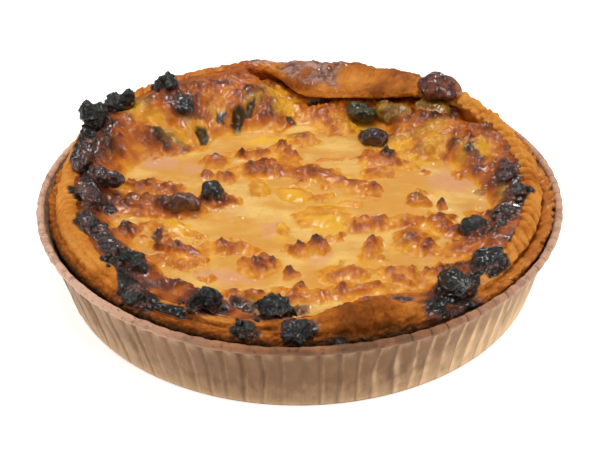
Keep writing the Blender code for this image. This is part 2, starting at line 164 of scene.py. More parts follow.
# Yellow, less baked places: x, y, half length, half width, turn, strength
YOLKS = (
    (6, -14.5, 5, 3.6, 0, 1), (-2, -4, 4, 2.6, -20, 0.8), (-8, 21.5, 7, 1.5, 10, 1),
    (-26, -17, 5.5, 2.4, -24, 0.9), (13, 3, 5, 1.6, -34, 0.7), (-9.5, 1.5, 2.6, 2.8, 0, 0.7),
    (9, -8, 4, 3, 0, 0.5), (-44, 40, 4, 5, 30, 0.8), (-27, 29, 3, 3.4, 0, 0.7), (-6, 47, 3, 6, 0, 0.7),
    (22, -13, 3, 2.4, 0, 0.5), (27.5, -19, 3, 2, 0, 0.6), (46, 18, 2.4, 4, 10, 0.8),
    (33, 27, 5, 3, 0, 0.6), (-31, 25, 4, 2.4, -10, 0.6), (-21.5, 35, 2, 3.4, 0, 0.7),
    (-3.4, 40.5, 3, 4.4, -20, 0.9), (24, 18, 5, 3.6, 0, 0.9), (34, 21, 4, 3, 0, 0.8),
    (42, 18, 3, 3, 0, 0.6), (17, 26, 3, 2.4, 0, 0.7), (29, 11, 4, 2, 0, 0.6), (-12, 46, 3, 3, 0, 0.5),
    (47, -3, 2, 3, 0, 0.4), (-37, 33, 3, 3, 0, 0.6), (14, 30, 4, 4, 0, 0.7), (38, -28, 3, 2, 20, 0.8),
    (21, -25, 3, 2, 0, 0.4), (-4, -19, 2, 4, 0, 0.6), (30, -4, 8, 5, 0, 0.3), (12, -31, 6, 3, 0, 0.3),
)
# Dents in the filling, darkened near-black olive as painted shade in the gaps between lumps and under the
# fold, with soft apple behind some: x, y, half length, half width, turn, depth in mm
HOLLOWS = (
    (-16, 35, 2.3, 4.2, -16, 2.4), (-13, 42, 1.7, 3.6, -24, 1.8), (-25, 27, 2, 3, 8, 2),
    (-24.5, -12, 3, 1.6, 15, 0.7), (15.5, 37, 3.6, 1.8, -35, 2), (6, 44, 5.5, 1.6, 18, 2.4),
    (32, 38, 3, 2, -10, 1), (44, 24, 1.2, 4, -5, 0.8), (-3, 9, 4, 1.2, -10, 0.5),
)
# Caramel-brown places: x, y, half length, half width, turn, strength
CARAMELS = (
    (-1.5, 5.5, 6, 3.4, -20, 1), (8, 5, 7, 2.2, -30, 0.7), (-9, 9.5, 6, 2.6, 8, 0.5),
    (-7.8, 43, 3.4, 4, 0, 1), (-12, 50, 4, 4, 0, 0.8), (-33, 20, 7, 2.4, 4, 0.7),
    (-27, 40, 6, 3.4, -20, 0.6), (-36, -7, 8, 3.4, -10, 0.6), (21, 25, 5, 2, -10, 0.8),
    (-46, 14, 3, 8, 0, 0.5), (33, 8, 3, 2.4, 0, 0.5), (46, -2, 3, 8, 0, 0.5),
)
# Scorched places on the filling: x, y, half length, half width, turn, strength
SCORCHES = (
    (-49, 29, 2.4, 4, -30, 0.9), (-44, -4, 4.5, 2, -36, 0.8), (-45, -16, 3, 1.8, -40, 0.8),
    (-41, -22, 3.6, 2.4, -50, 0.8), (-38, -30, 3, 7, 12, 1), (-33.5, -37, 3.4, 5, 25, 1),
    (-29, -44, 6, 3, -25, 1), (-22, -46.5, 7, 2.4, -6, 0.9), (-12, -45.5, 5, 2.6, -5, 0.9),
    (-3, -46.5, 6, 2, 0, 0.9), (-29, -36, 3.6, 1.8, -10, 0.7), (-22, -39, 3, 1.4, -20, 0.6),
    (20, -43, 3.6, 1.1, 8, 1), (10, -44.5, 2.8, 0.9, 8, 0.8), (33, -38, 2.6, 3, 30, 0.8),
    (31, -43, 3, 2, 10, 1), (44, -1, 4, 2, 30, 0.5), (47, -12, 3, 2, 30, 0.5), (41, -28, 4, 2.4, 20, 0.5),
    (47, -21, 3, 2.4, 30, 0.7), (43, 17, 1.6, 3, 6, 0.8), (42, 9, 1.6, 4, 6, 0.5),
    (-30.5, -19.5, 1.6, 2, 0, 0.8), (-36, 50, 3.6, 6, 28, 0.9), (-31, 43, 3.4, 4, 25, 0.9),
    (-50, 45, 5, 4.6, 20, 0.9), (-22, 55, 4, 1.6, 0, 0.7), (-2, 30, 2, 1.4, -10, 0.8),
    (-20.5, 35, 1.2, 2.4, 0, 0.9), (0, 24, 3.6, 2.4, -10, 0.5), (18.5, 25, 3.6, 2.4, -10, 0.7),
    (-4, 53, 6, 2, 20, 0.5), (-27, -6, 6.5, 2.4, 4, 0.6),
)
# Scorched, glossy ridges along the edge: half width, rise, and the points that each runs through
RIDGES = (
    (2.0, 1.1, ((-46.5, 26.5), (-48.9, 20.5), (-50.4, 13.2), (-50.9, 4.5), (-49.0, -2.0),
                (-46.0, -6.8), (-42.5, -10.5))),
    (2.1, 1.2, ((-46.8, -17.5), (-44.3, -21.4), (-40.1, -27.8), (-36.2, -34.8), (-34.0, -41.5),
                (-31.0, -46.0), (-26.5, -48.8), (-23.5, -49.0))),
    (1.3, 0.8, ((48.1, 4.2), (49.0, -1.3), (49.7, -7.0), (48.9, -12.5), (46.1, -17.3), (43.0, -20.4))),
    (1.8, 0.8, ((27.0, -47.5), (31.0, -44.0), (35.5, -38.0), (40.0, -33.0))),
)
# Browned tips: x, y, radius, rise, darkness
TIPS = (
    (-35, 13, 1.1, 1.2, 0.7), (-30, 21, 1.6, 1, 0.9), (-28, 18, 1.3, 1, 0.9), (-37, 19, 1.4, 0.9, 0.8),
    (-33, 19, 1.2, 0.9, 0.8), (-20.5, 14.5, 1.5, 1.3, 0.9), (-14, 16, 1.1, 2.6, 1),
    (-10, 15, 1.3, 1, 0.6), (-12, 15.8, 1.1, 1, 0.5), (-6, 11.5, 1.6, 1, 0.5), (-12, 10.5, 1.8, 0.9, 0.4),
    (-4, 21, 1.1, 2.8, 0.7), (-2.5, 18.5, 1.3, 1.6, 0.7), (-1, 15.5, 1.2, 1.2, 0.6),
    (-23, 6, 1.4, 0.8, 0.7), (-17, 6, 1.6, 1.2, 0.9), (-38.5, 2.5, 1.5, 0.9, 0.8),
    (-36, 2.8, 1.2, 0.9, 0.8), (-32, 0.2, 1.4, 0.9, 0.8), (-27.5, 0.6, 1.4, 1, 0.8),
    (-29.5, -0.6, 1.2, 0.8, 0.8), (0.3, 1.6, 1.5, 1.3, 0.9), (-1.2, 0.6, 1.1, 1, 0.8),
    (17.3, 0, 1.3, 1.2, 0.7), (16.5, 14.8, 1.4, 1.2, 0.8), (17.8, 17, 1, 1, 0.6), (21.5, 17, 1.1, 2.4, 1),
    (20.5, 13.5, 1.4, 1, 0.6), (26, 10.5, 1.3, 0.8, 0.6), (25.5, 22.5, 1.4, 1.1, 0.8),
    (29.7, 6.5, 1, 0.9, 0.6), (27.5, -2.8, 1, 2, 0.9), (28.8, -3.6, 0.8, 1.2, 0.8),
    (25.8, -4.4, 1, 1.1, 0.6), (32.2, -7.2, 0.8, 1.3, 0.8), (-17.5, -9, 1.2, 1.2, 0.9),
    (-15.5, -5.5, 1.4, 0.8, 0.5), (-13.5, -13.4, 0.9, 0.7, 0.7), (-11.2, -15.1, 0.8, 0.6, 0.7),
    (12, -15.2, 1, 1.5, 0.8), (14.5, -13, 1.1, 0.9, 0.6), (16.8, -13.2, 1, 0.9, 0.6),
    (19, -14.5, 1.2, 0.8, 0.5), (9, -19.8, 0.9, 0.8, 0.5), (3.8, -21.6, 1, 1.8, 1),
    (2.4, -22.6, 1, 1, 0.7), (-28.5, -21, 1.1, 1.3, 0.9), (-26, -23, 1.4, 0.8, 0.8),
    (-17, -22, 1, 1.3, 0.8), (-14.5, -25, 1.4, 0.7, 0.4), (0, -23.5, 0.9, 1.8, 0.9),
    (-1.2, -25, 1.2, 1, 0.7), (-4, -19.5, 0.9, 1, 0.3), (24.5, -21, 1.2, 1.2, 0.9),
    (28, -22.8, 1.2, 1.6, 1), (26.6, -25, 1.4, 0.9, 0.8), (16, -21.5, 1.3, 1.2, 0.6),
    (14.5, -24, 1.1, 0.8, 0.6), (24, -16.5, 1.4, 0.9, 0.6), (-5.8, -28.6, 0.9, 2, 1),
    (-9, -30, 1.5, 1.1, 0.9), (-12, -28.8, 1.3, 0.8, 0.7), (-7.5, -31.5, 1.3, 0.8, 0.9),
    (-2.3, -32.2, 1.1, 1.5, 0.9), (-18.5, -34.5, 1.1, 0.6, 0.7), (-13.4, -35.5, 1, 0.5, 0.6),
    (0.2, -37.6, 0.9, 1.6, 1), (-1, -39.5, 1.6, 0.8, 0.7), (-13.2, -39.4, 1.2, 1.1, 0.9),
    (-9.8, -40, 1.1, 1, 0.8), (8.5, -30.4, 1.2, 0.9, 0.7), (11, -30.8, 0.9, 1.1, 0.8),
    (17, -28.8, 1.2, 0.5, 0.7), (21, -32, 1.1, 1.1, 0.7), (18.5, -32.5, 1, 0.9, 0.6),
    (23.3, -31.8, 0.8, 1.2, 0.8), (26, -32.6, 1.2, 1.4, 0.9), (29.5, -32.5, 1.1, 1.2, 0.9),
    (8.6, -37.5, 1.3, 1, 0.7), (13, -34, 1.3, 0.8, 0.5), (22, -38, 1.4, 0.8, 0.6),
    (5, -41, 1.4, 0.7, 0.6), (-39, -15, 1.3, 1.6, 0.9), (-37.2, -17.6, 1.4, 0.9, 0.9),
    (-34, -20.5, 1.4, 1, 0.9), (-30.6, -17.8, 0.7, 1.6, 1), (-30.5, -24.5, 1.5, 0.8, 0.8),
    (-31, -37.5, 1.4, 0.8, 0.8), (-25, -36, 1.3, 0.8, 0.8), (-21, -39, 1.3, 0.9, 0.9),
    (-41, -12, 1.3, 1, 0.9), (-37.5, -12.5, 1.3, 0.8, 0.7), (33, -23, 1.3, 1, 0.8),
    (36, -21.5, 1.2, 1, 0.8), (31, -12.5, 1.2, 1.1, 0.8), (33.5, -14, 1, 0.9, 0.7),
    (39, -20, 1.2, 0.9, 0.8), (42.5, -19, 1.4, 1.1, 0.9), (45, -21, 1.6, 1.1, 0.9),
    (35, 11, 1.4, 0.7, 0.6), (43, 23.4, 1.3, 1.4, 1), (41, 17, 1.6, 1, 0.8), (44, 12, 1.6, 1, 0.8),
    (39, 20, 1.6, 0.8, 0.5), (31, 13, 1.4, 0.8, 0.6), (-47, 20, 1.3, 1, 0.8), (-45, 24, 1.3, 1, 0.7),
    (-44, 34, 1.6, 1, 0.8), (-36, 28, 2, 1, 0.9), (-27, 52, 2.2, 1, 0.8), (-8, 57, 1.6, 2, 1),
    (-14, 52, 2, 1, 0.7), (-21, 40, 1.4, 1, 0.6), (-10, 36, 2, 0.8, 0.6), (-3, 30, 1.4, 1, 0.8),
    (31, 26, 1.6, 1, 0.6), (10, 24, 1.4, 0.9, 0.7), (13, 26, 1.6, 1, 0.8),
)
RANDOM_TIPS = 130

# Pieces of apple: how each looks, how craggy it is, and how much it swells beyond its solid
APPLE_LOOKS = {
    "apple_front_right": ("wet", 0.28, 0.45),
    "apple_right_glossy": ("wet", 0.30, 0.5),
    "apple_right_round": ("wet", 0.18, 0.45),
    "apple_right_low": ("wet", 0.32, 0.4),
    "apple_right_middle": ("wet", 0.34, 0.35),
    "apple_right_high": ("glazed", 0.32, 0.4),
    "apple_knob": ("plum", 0.14, 1.0),
    "apple_soft_right": ("soft", 0.18, 1.0),
    "apple_soft_back": ("soft", 0.18, 1.0),
    "apple_skin_back": ("skin", 0.2, 0.9),
    "apple_dark_back": ("glazed", 0.24, 0.5),
    "apple_spike_left": ("charred", 0.40, 0.4),
    "apple_oval_left": ("wet", 0.24, 0.4),
    "apple_crest_left": ("charred", 0.40, 0.2),
    "apple_corner_left": ("charred", 0.38, 0.2),
    "apple_ridge_left": ("glazed", 0.30, 0.5),
    "apple_strip_left": ("glazed", 0.28, 0.4),
    "apple_bar_left": ("glazed", 0.26, 0.5),
    "apple_dark_middle": ("wet", 0.20, 0.3),
    "apple_brown_middle": ("smoked", 0.22, 0.6),
    "apple_patch_left": ("wet", 0.34, 0.3),
    "apple_black_left": ("charred", 0.40, 0.4),
    "apple_edge_left": ("charred", 0.36, 0.4),
    "apple_spike_front": ("charred", 0.44, 0.3),
    "apple_black_front": ("charred", 0.42, 0.3),
    "apple_drip_front": ("charred", 0.38, 0.7),
    "apple_lip_front": ("charred", 0.42, 0.8),
}
PALE_LOOKS = ("soft", "skin", "plum", "smoked")
DARK_NODES = [node for node, (look, *_) in APPLE_LOOKS.items() if look not in PALE_LOOKS]
PALE_NODES = [node for node in APPLE_LOOKS if node not in DARK_NODES]
APPLE_ROUNDS = 4  # how often each is subdivided
SINK = 0.5  # how deep the pieces lie in the filling

# Loose crumbs away from the pieces: x, y, size
LOOSE_CRUMBS = ((7.3, -56.8, 1.5), (3.4, -57.6, 0.8), (52.4, -24.1, 1.6), (-20, 56, 1.0), (12, -55.6, 0.5))
CRUMBS_EACH = 5  # round each charred piece


# ---------------------------------------------------------------- numbers and fields


def smooth_step(low, high, value):
    share = np.clip((value - low) / (high - low), 0.0, 1.0)
    return share * share * (3 - 2 * share)


def plateau(start, full, fading, end, value):
    """0 before start, 1 from full to fading and 0 after end."""
    return smooth_step(start, full, value) * (1 - smooth_step(fading, end, value))


def bell(value, middle, width, power=2):
    """1 at the middle, and falling off on both sides."""
    return np.exp(-(((value - middle) / width) ** power))


def round_the_tart(keys, angle):
    """The value of a (degrees, value) list at angles in radians."""
    degrees, values = zip(*keys)
    return np.interp(np.degrees(angle), degrees, values, period=360)


def hashed(cells, seed):
    """Three numbers from 0 to 1 for each whole-numbered cell, the same every time."""
    mixed = np.full(cells.shape[:-1], (seed * 668265263 + 374761393) % 2**32, np.uint32)
    for axis, factor in enumerate((73856093, 19349663, 83492791)):
        mixed = mixed ^ cells[..., axis].astype(np.uint32) * np.uint32(factor)
        mixed = (mixed ^ mixed >> np.uint32(15)) * np.uint32(2246822519)
        mixed = mixed ^ mixed >> np.uint32(13)
    parts = [(mixed >> np.uint32(shift) & np.uint32(1023)) / 1023 for shift in (0, 10, 20)]
    return np.stack(parts, axis=-1)


def stacked(x, y, z):
    return np.stack(np.broadcast_arrays(x, y, z), axis=-1).astype(float)


def noise_at(x, y, z, scale, seed, detail=1):
    """Smooth noise from about -1 to 1 at arrays of points, with features about scale wide."""
    places = stacked(x, y, z) / scale
    total = np.zeros(places.shape[:-1])
    for octave in range(detail):
        cell = np.floor(places).astype(np.int64)
        within = places - cell
        fade = within**3 * (within * (within * 6 - 15) + 10)
        for corner in itertools.product((0, 1), repeat=3):
            slope = hashed(cell + corner, seed + 31 * octave) * 2 - 1
            weight = np.prod(np.where(corner, fade, 1 - fade), axis=-1)
            total += weight * np.sum(slope * (within - corner), axis=-1) * 1.7 / 2**octave
        places = places * 2.03
    return total


def cells_at(x, y, z, scale, seed):
    """Distances to the nearest and the second nearest of points scattered scale apart."""
    places = stacked(x, y, z) / scale
    cell = np.floor(places).astype(np.int64)
    first = np.full(cell.shape[:-1], 9.0)
    second = first.copy()
    for corner in itertools.product((-1, 0, 1), repeat=3):
        apart = corner + hashed(cell + corner, seed) - (places - cell)
        distance = np.sqrt(np.sum(apart * apart, axis=-1))
        second = np.minimum(second, np.maximum(first, distance))
        first = np.minimum(first, distance)
    return first, second


def domes_at(x, y, z, scale, seed):
    """Rounded lumps that meet in creases, from 0 in a crease to 1 on top of a lump."""
    first, second = cells_at(x, y, z, scale, seed)
    return np.clip(1 - first * first, 0, 1) * smooth_step(0.0, 0.25, second - first)


def crests_at(x, y, z, scale, seed, detail=3):
    """Sharp crests with soft ground between them, from 0 to 1."""
    total, size = 0.0, 0.0
    for octave in range(detail):
        ridge = (1 - np.abs(noise_at(x, y, z, scale / 2**octave, seed + octave))) ** 3
        total, size = total + ridge / 2**octave, size + 1 / 2**octave
    return total / size


def patch_at(x, y, patch):
    """How far points are from an elliptic patch's middle, as 1 on its edge."""
    middle_x, middle_y, length, width, turn = patch
    cos, sin = math.cos(math.radians(turn)), math.sin(math.radians(turn))
    along = ((x - middle_x) * cos + (y - middle_y) * sin) / length
    across = ((y - middle_y) * cos - (x - middle_x) * sin) / width
    return np.hypot(along, across)


def from_line(x, y, line):
    """Distance of points from a line through several places."""
    nearest = np.full(np.shape(x), 99.0)
    for (start_x, start_y), (end_x, end_y) in itertools.pairwise(line):
        run_x, run_y = end_x - start_x, end_y - start_y
        share = np.clip(((x - start_x) * run_x + (y - start_y) * run_y) / (run_x**2 + run_y**2), 0, 1)
        nearest = np.minimum(nearest, np.hypot(x - start_x - share * run_x, y - start_y - share * run_y))
    return nearest


def scorched_ridges(x, y):
    """How high the scorched ridges stand at points, and how strongly they are scorched."""
    wander = 0.6 * noise_at(x, y, 0 * x, 3.5, 61, 3)
    rise, scorch = np.zeros_like(x), np.zeros_like(x)
    for half_width, height, line in RIDGES:
        apart = (from_line(x, y, line) + wander) / half_width
        rise = np.maximum(rise, height * np.exp(-(np.clip(apart, 0, None) ** 2.5)))
        scorch = np.maximum(scorch, 1 - smooth_step(0.65, 1.1, apart))
    return rise, scorch


def from_pieces(points, nodes, reach):
    """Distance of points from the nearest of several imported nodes, up to reach."""
    nearest = np.full(len(points), float(reach))
    for node in nodes:
        low, high = node_box(node)
        near = np.flatnonzero(((points > low - reach) & (points < high + reach)).all(axis=1))
        tree = bvh_of(node)
        for index in near:
            distance = tree.find_nearest(Vector(points[index]))[3]
            nearest[index] = min(nearest[index], distance)
    return nearest


def blurred(field, reach, times=3):
    """A square field blurred by a box of reach cells to each side, several times."""
    for _ in range(times):
        for axis in (0, 1):
            padded = np.pad(field, [(reach + 1, reach) if a == axis else (0, 0) for a in (0, 1)], "edge")
            total = np.cumsum(padded, axis=axis)
            size = 2 * reach + 1
            field = (np.take(total, range(size, total.shape[axis]), axis)
                     - np.take(total, range(0, total.shape[axis] - size), axis)) / size
    return field


# ---------------------------------------------------------------- mesh making


def in_millimetres(meshes):
    """A bmesh in millimetres that joins meshes in metres."""
    bm = bmesh.new()
    for mesh in meshes:
        bm.from_mesh(mesh)
    bmesh.ops.scale(bm, vec=(1 / MM, 1 / MM, 1 / MM), verts=bm.verts)
    return bm


def tree_of(meshes):
    """A search tree in millimetres over meshes in metres."""
    bm = in_millimetres(meshes)
    tree = BVHTree.FromBMesh(bm)
    bm.free()
    return tree


def bvh_of(node):
    """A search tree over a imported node, in millimetres."""
    return tree_of([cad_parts[node].data])


def seen_at(x, y, z):
    """Where the sight line through (x, y) on the sight level passes the height z."""
    share = (CAMERA_PLACE[2] - z) / (CAMERA_PLACE[2] - SIGHT_LEVEL)
    return (
        CAMERA_PLACE[0] + (x - CAMERA_PLACE[0]) * share,
        CAMERA_PLACE[1] + (y - CAMERA_PLACE[1]) * share,
        z,
    )


def ground_at(tree, x, y):
    """The height of a surface at a place, or None beside it."""
    hit = tree.ray_cast(Vector((x, y, ABOVE_ALL)), DOWN)[0]
    return hit.z if hit else None


def mesh_of(name, bm):
    """A mesh made of a bmesh, which is freed."""
    mesh = bpy.data.meshes.new(name)
    bm.to_mesh(mesh)
    bm.free()
    return mesh


def coordinates(mesh, field="co"):
    """Each vertex's place, or another of its vectors."""
    flat = np.empty(len(mesh.vertices) * 3)
    mesh.vertices.foreach_get(field, flat)
    return flat.reshape(-1, 3)


def set_coordinates(mesh, points):
    mesh.vertices.foreach_set("co", np.ascontiguousarray(points, np.float32).ravel())
    mesh.update()


def paint(mesh, **fields):
    """Stores a number from 0 to 1 for each vertex under each name."""
    for name, values in fields.items():
        layer = mesh.attributes.new(name, "FLOAT", "POINT")
        layer.data.foreach_set("value", np.ascontiguousarray(np.clip(values, 0, 1), np.float32).ravel())


def lathe(name, profile, steps):
    """A closed mesh turned from points (radius, height), with each vertex's row in "row"."""
    bm = bmesh.new()
    bmesh.ops.create_grid(bm, x_segments=len(profile) - 1, y_segments=steps, size=0.5)
    layer = bm.verts.layers.int.new("row")
    seam = []
    for vertex in bm.verts:
        row = round((vertex.co.x + 0.5) * (len(profile) - 1))
        step = round((vertex.co.y + 0.5) * steps)
        radius, height = profile[row]
        turn = math.tau * (step % steps) / steps
        vertex.co = (radius * math.cos(turn), radius * math.sin(turn), height)
        vertex[layer] = row
        if step in (0, steps) or row in (0, len(profile) - 1):
            seam.append(vertex)
    bmesh.ops.remove_doubles(bm, verts=seam, dist=1e-4)
    bmesh.ops.recalc_face_normals(bm, faces=bm.faces)
    return mesh_of(name, bm)


def rows_of(mesh):
    rows = np.empty(len(mesh.vertices), np.int32)
    mesh.attributes["row"].data.foreach_get("value", rows)
    return rows


def spline_shares(places, keys):
    """Each place along a smooth curve through so many keys, as shares of the keys."""
    shares = np.zeros((len(places), keys))
    for row, place in enumerate(places):
        key = min(int(place), keys - 2)
        t = place - key
        weights = (
            -0.5 * t + t * t - 0.5 * t**3,
            1 - 2.5 * t * t + 1.5 * t**3,
            0.5 * t + 2 * t * t - 1.5 * t**3,
            -0.5 * t * t + 0.5 * t**3,
        )
        for offset, weight in enumerate(weights):
            shares[row, min(max(key - 1 + offset, 0), keys - 1)] += weight
    return shares


def finished(name, mesh, material, nodes):
    """A piece of the tartlet, from a mesh in millimetres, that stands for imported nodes."""
    if mesh.attributes.get("row"):
        mesh.attributes.remove(mesh.attributes["row"])
    mesh.transform(Matrix.Scale(MM, 4))
    mesh.materials.append(material)
    mesh.shade_smooth()
    piece = bpy.data.objects.new(name, mesh)
    bpy.context.scene.collection.objects.link(piece)
    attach(piece, BODY)
    if nodes:
        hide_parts(*nodes)


# ---------------------------------------------------------------- shader maths


class Wire:
    """A shader socket that Python's operators work on."""

    def __init__(self, finish, socket):
        self.finish = finish
        self.socket = socket

    def maths(self, operation, *others):
        return self.finish.add("ShaderNodeMath", {"operation": operation}, dict(enumerate(others)))

    def __add__(self, other):
        return self.maths("ADD", self, other)

    def __radd__(self, other):
        return self.maths("ADD", other, self)

    def __sub__(self, other):
        return self.maths("SUBTRACT", self, other)

    def __rsub__(self, other):
        return self.maths("SUBTRACT", other, self)

    def __mul__(self, other):
        return self.maths("MULTIPLY", self, other)

    def __rmul__(self, other):
        return self.maths("MULTIPLY", other, self)

    def swing(self, amount):
        """Noise from 0 to 1 turned into a swing of an amount about nothing."""
        return (self - 0.5) * amount

    def clipped(self):
        return self.finish.add("ShaderNodeClamp", {}, {0: self})

    def between(self, low, high):
        """0 below low, 1 above high and smooth in between."""
        settings = {"interpolation_type": "SMOOTHSTEP"}
        return self.finish.add("ShaderNodeMapRange", settings, {0: self, 1: low, 2: high})


class Finish:
    """A material under construction, on a Principled shader."""

    def __init__(self, name, **constants):
        self.material = bpy.data.materials.new(name)
        self.material.use_nodes = True
        self.tree = self.material.node_tree
        self.shader = self.tree.nodes["Principled BSDF"]
        for socket, value in constants.items():
            self.shader.inputs[socket.replace("_", " ")].default_value = value
        place = self.add("ShaderNodeTexCoord", {}, {}, "Object")
        scale = (1 / MM, 1 / MM, 1 / MM)
        self.place = self.add("ShaderNodeMapping", {}, {"Vector": place, "Scale": scale})

    def add(self, kind, settings, inputs, output=0):
        """A node of a kind, with its settings and then its sockets filled, as its output."""
        node = self.tree.nodes.new(kind)
        for name, value in settings.items():
            if name == "stops":
                ramp = node.color_ramp.elements
                while len(ramp) < len(value):
                    ramp.new(0.5)
                for element, (position, colour) in zip(ramp, value):
                    element.position = position
                    element.color = (*colour, 1.0)
            else:
                setattr(node, name, value)
        for key, value in inputs.items():
            if isinstance(value, Wire):
                self.tree.links.new(value.socket, node.inputs[key])
            else:
                node.inputs[key].default_value = value
        return Wire(self, node.outputs[output])

    def attributes(self, *names):
        kind = "ShaderNodeAttribute"
        return [self.add(kind, {"attribute_name": name}, {}, "Fac") for name in names]

    def noise(self, size, detail=3.0, roughness=0.55, place=None):
        """Noise from 0 to 1 with features about size millimetres wide."""
        inputs = {
            "Vector": place or self.place,
            "Scale": 1 / size,
            "Detail": detail,
            "Roughness": roughness,
        }
        return self.add("ShaderNodeTexNoise", {}, inputs, "Fac")

    def stretched(self, scale):
        """Places in millimetres, scaled along each axis."""
        return self.add("ShaderNodeMapping", {}, {"Vector": self.place, "Scale": scale})

    def ramp(self, share, stops):
        return self.add("ShaderNodeValToRGB", {"stops": stops}, {0: share}, "Color")

    def mix(self, share, first, second):
        first, second = (c if isinstance(c, Wire) else (*c, 1.0) for c in (first, second))
        return self.add("ShaderNodeMix", {"data_type": "RGBA"}, {0: share, 6: first, 7: second}, 2)

    def feed(self, **sockets):
        for socket, wire in sockets.items():
            self.tree.links.new(wire.socket, self.shader.inputs[socket.replace("_", " ")])

    def bump(self, height, millimetres):
        """A normal from a height field from 0 to 1 that is so many millimetres deep."""
        inputs = {"Height": height, "Distance": millimetres * MM, "Strength": 1.0}
        return self.add("ShaderNodeBump", {}, inputs)


def linear(red, green, blue):
    """A colour given as 0 to 255 on screen, in linear light."""
    return tuple(((c / 255 + 0.055) / 1.055) ** 2.4 if c > 10 else c / 3295 for c in (red, green, blue))


CREAM = linear(222, 158, 70)
PALE_CREAM = linear(246, 206, 122)
# pale pink of the painted reflection on the pools
REFLECTION_PINK = linear(224, 162, 118)
PALE_GOLD = linear(240, 178, 66)
GOLD = linear(224, 146, 34)
ORANGE = linear(194, 104, 18)
RED_BROWN = linear(142, 64, 12)
DARK_BROWN = linear(48, 24, 10)
YOLK = linear(244, 186, 44)
# near-black olive for the painted shade in the dents
SHADE_OLIVE = linear(28, 26, 8)
CHAR = linear(24, 22, 18)
ASH = linear(66, 58, 50)
PLUM_GLAZE = linear(112, 66, 52)
PASTRY_PALE = linear(222, 150, 62)
PASTRY_GOLD = linear(196, 116, 34)
PASTRY_BROWN = linear(146, 74, 14)
# pale paper for painted highlights and painted light, also for pale fibres
PAPER_LIT = linear(230, 190, 142)
PAPER_BROWN = linear(144, 102, 62)
PAPER_DARK = linear(66, 40, 22)
ROLL_BROWN = linear(178, 116, 76)
PAPER_STAIN = linear(112, 78, 46)
# pale pink of the roll where painted light falls on the sides
ROLL_LIT_PINK = linear(234, 190, 162)
ROLL_GREASE = linear(112, 76, 50)
ROLL_BLOTCH = linear(120, 72, 50)
FLOOR_GREY = (0.86, 0.86, 0.86)
WHITE = (1.0, 1.0, 1.0, 1.0)

# Finishes of the apple: dark and light colour, roughness, coat and how much light sinks in
APPLE_FINISHES = {
    "charred": (linear(14, 13, 11), linear(56, 55, 44), 0.36, 0.45, 0.0),
    "wet": (linear(11, 11, 8), linear(46, 48, 36), 0.22, 0.9, 0.0),
    "glazed": (linear(38, 18, 14), linear(126, 76, 60), 0.22, 0.9, 0.0),
    "plum": (linear(74, 28, 18), linear(162, 92, 58), 0.2, 0.9, 0.2),
    "smoked": (linear(70, 34, 20), linear(146, 88, 54), 0.22, 0.8, 0.3),
    "soft": (linear(126, 84, 14), linear(196, 150, 48), 0.2, 0.7, 0.5),
    "skin": (linear(30, 30, 8), linear(98, 84, 26), 0.2, 0.7, 0.2),
}
# What the feet of the pieces blend into: golden filling, or singed filling round the dark ones
GOLDEN_FOOT = (linear(206, 126, 34), linear(160, 84, 26))
SINGED_FOOT = (linear(92, 40, 24), PLUM_GLAZE)


# ---------------------------------------------------------------- materials


def paper_finish(settings):
    finish = Finish("baked_paper", Roughness=0.5, Specular_IOR_Level=0.2, Sheen_Weight=0.08,
                    Sheen_Roughness=0.5)
    crease, ridge, roll, low, side = finish.attributes("crease", "ridge", "roll", "low", "side")
    fibre = finish.noise(0.5, 5.0, 0.7, finish.stretched((1.0, 1.0, 0.25)))
    stain = finish.noise(8.0, 4.0, 0.6)
    # the stain fades where painted light pales the foot of the wall and its sides
    soak = (stain * 1.7 - 0.35 - low * 0.5 - side * 0.5).clipped()
    body = finish.mix(soak, tuple(settings.colour), tuple(settings.dark_colour))
    # pale paper for the painted highlights on the ridges, the painted glow at the foot and the painted
    # light on the sides, and for pale fibres
    lit_and_fibre = (ridge * 0.8 + low * 0.6 + side * 0.4 + fibre * 0.4 - 0.24).clipped()
    body = finish.mix(lit_and_fibre, body, PAPER_LIT)
    greasy = finish.mix(stain.between(0.35, 0.65), ROLL_BROWN, ROLL_GREASE)
    # the roll: greasy brown, turning pale pink on the sides as painted light
    body = finish.mix(roll * 0.85, body, finish.mix(side * 0.85, greasy, ROLL_LIT_PINK))
    blotch = finish.noise(3.2, 4.0, 0.7).between(0.5, 0.62)
    body = finish.mix(roll * blotch * 0.4, body, ROLL_BLOTCH)
    fleck = finish.noise(1.5, 4.0, 0.75).between(0.56, 0.7)
    body = finish.mix(roll * fleck * 0.75, body, PAPER_DARK)
    # painted shade in the creases and the roll's notches, in the darkest paper
    body = finish.mix(crease, body, PAPER_DARK)
    height = fibre * 0.5 + finish.noise(1.2, 3.0) * 0.5
    finish.feed(Base_Color=body, Normal=finish.bump(height, 0.12))
    return finish.material


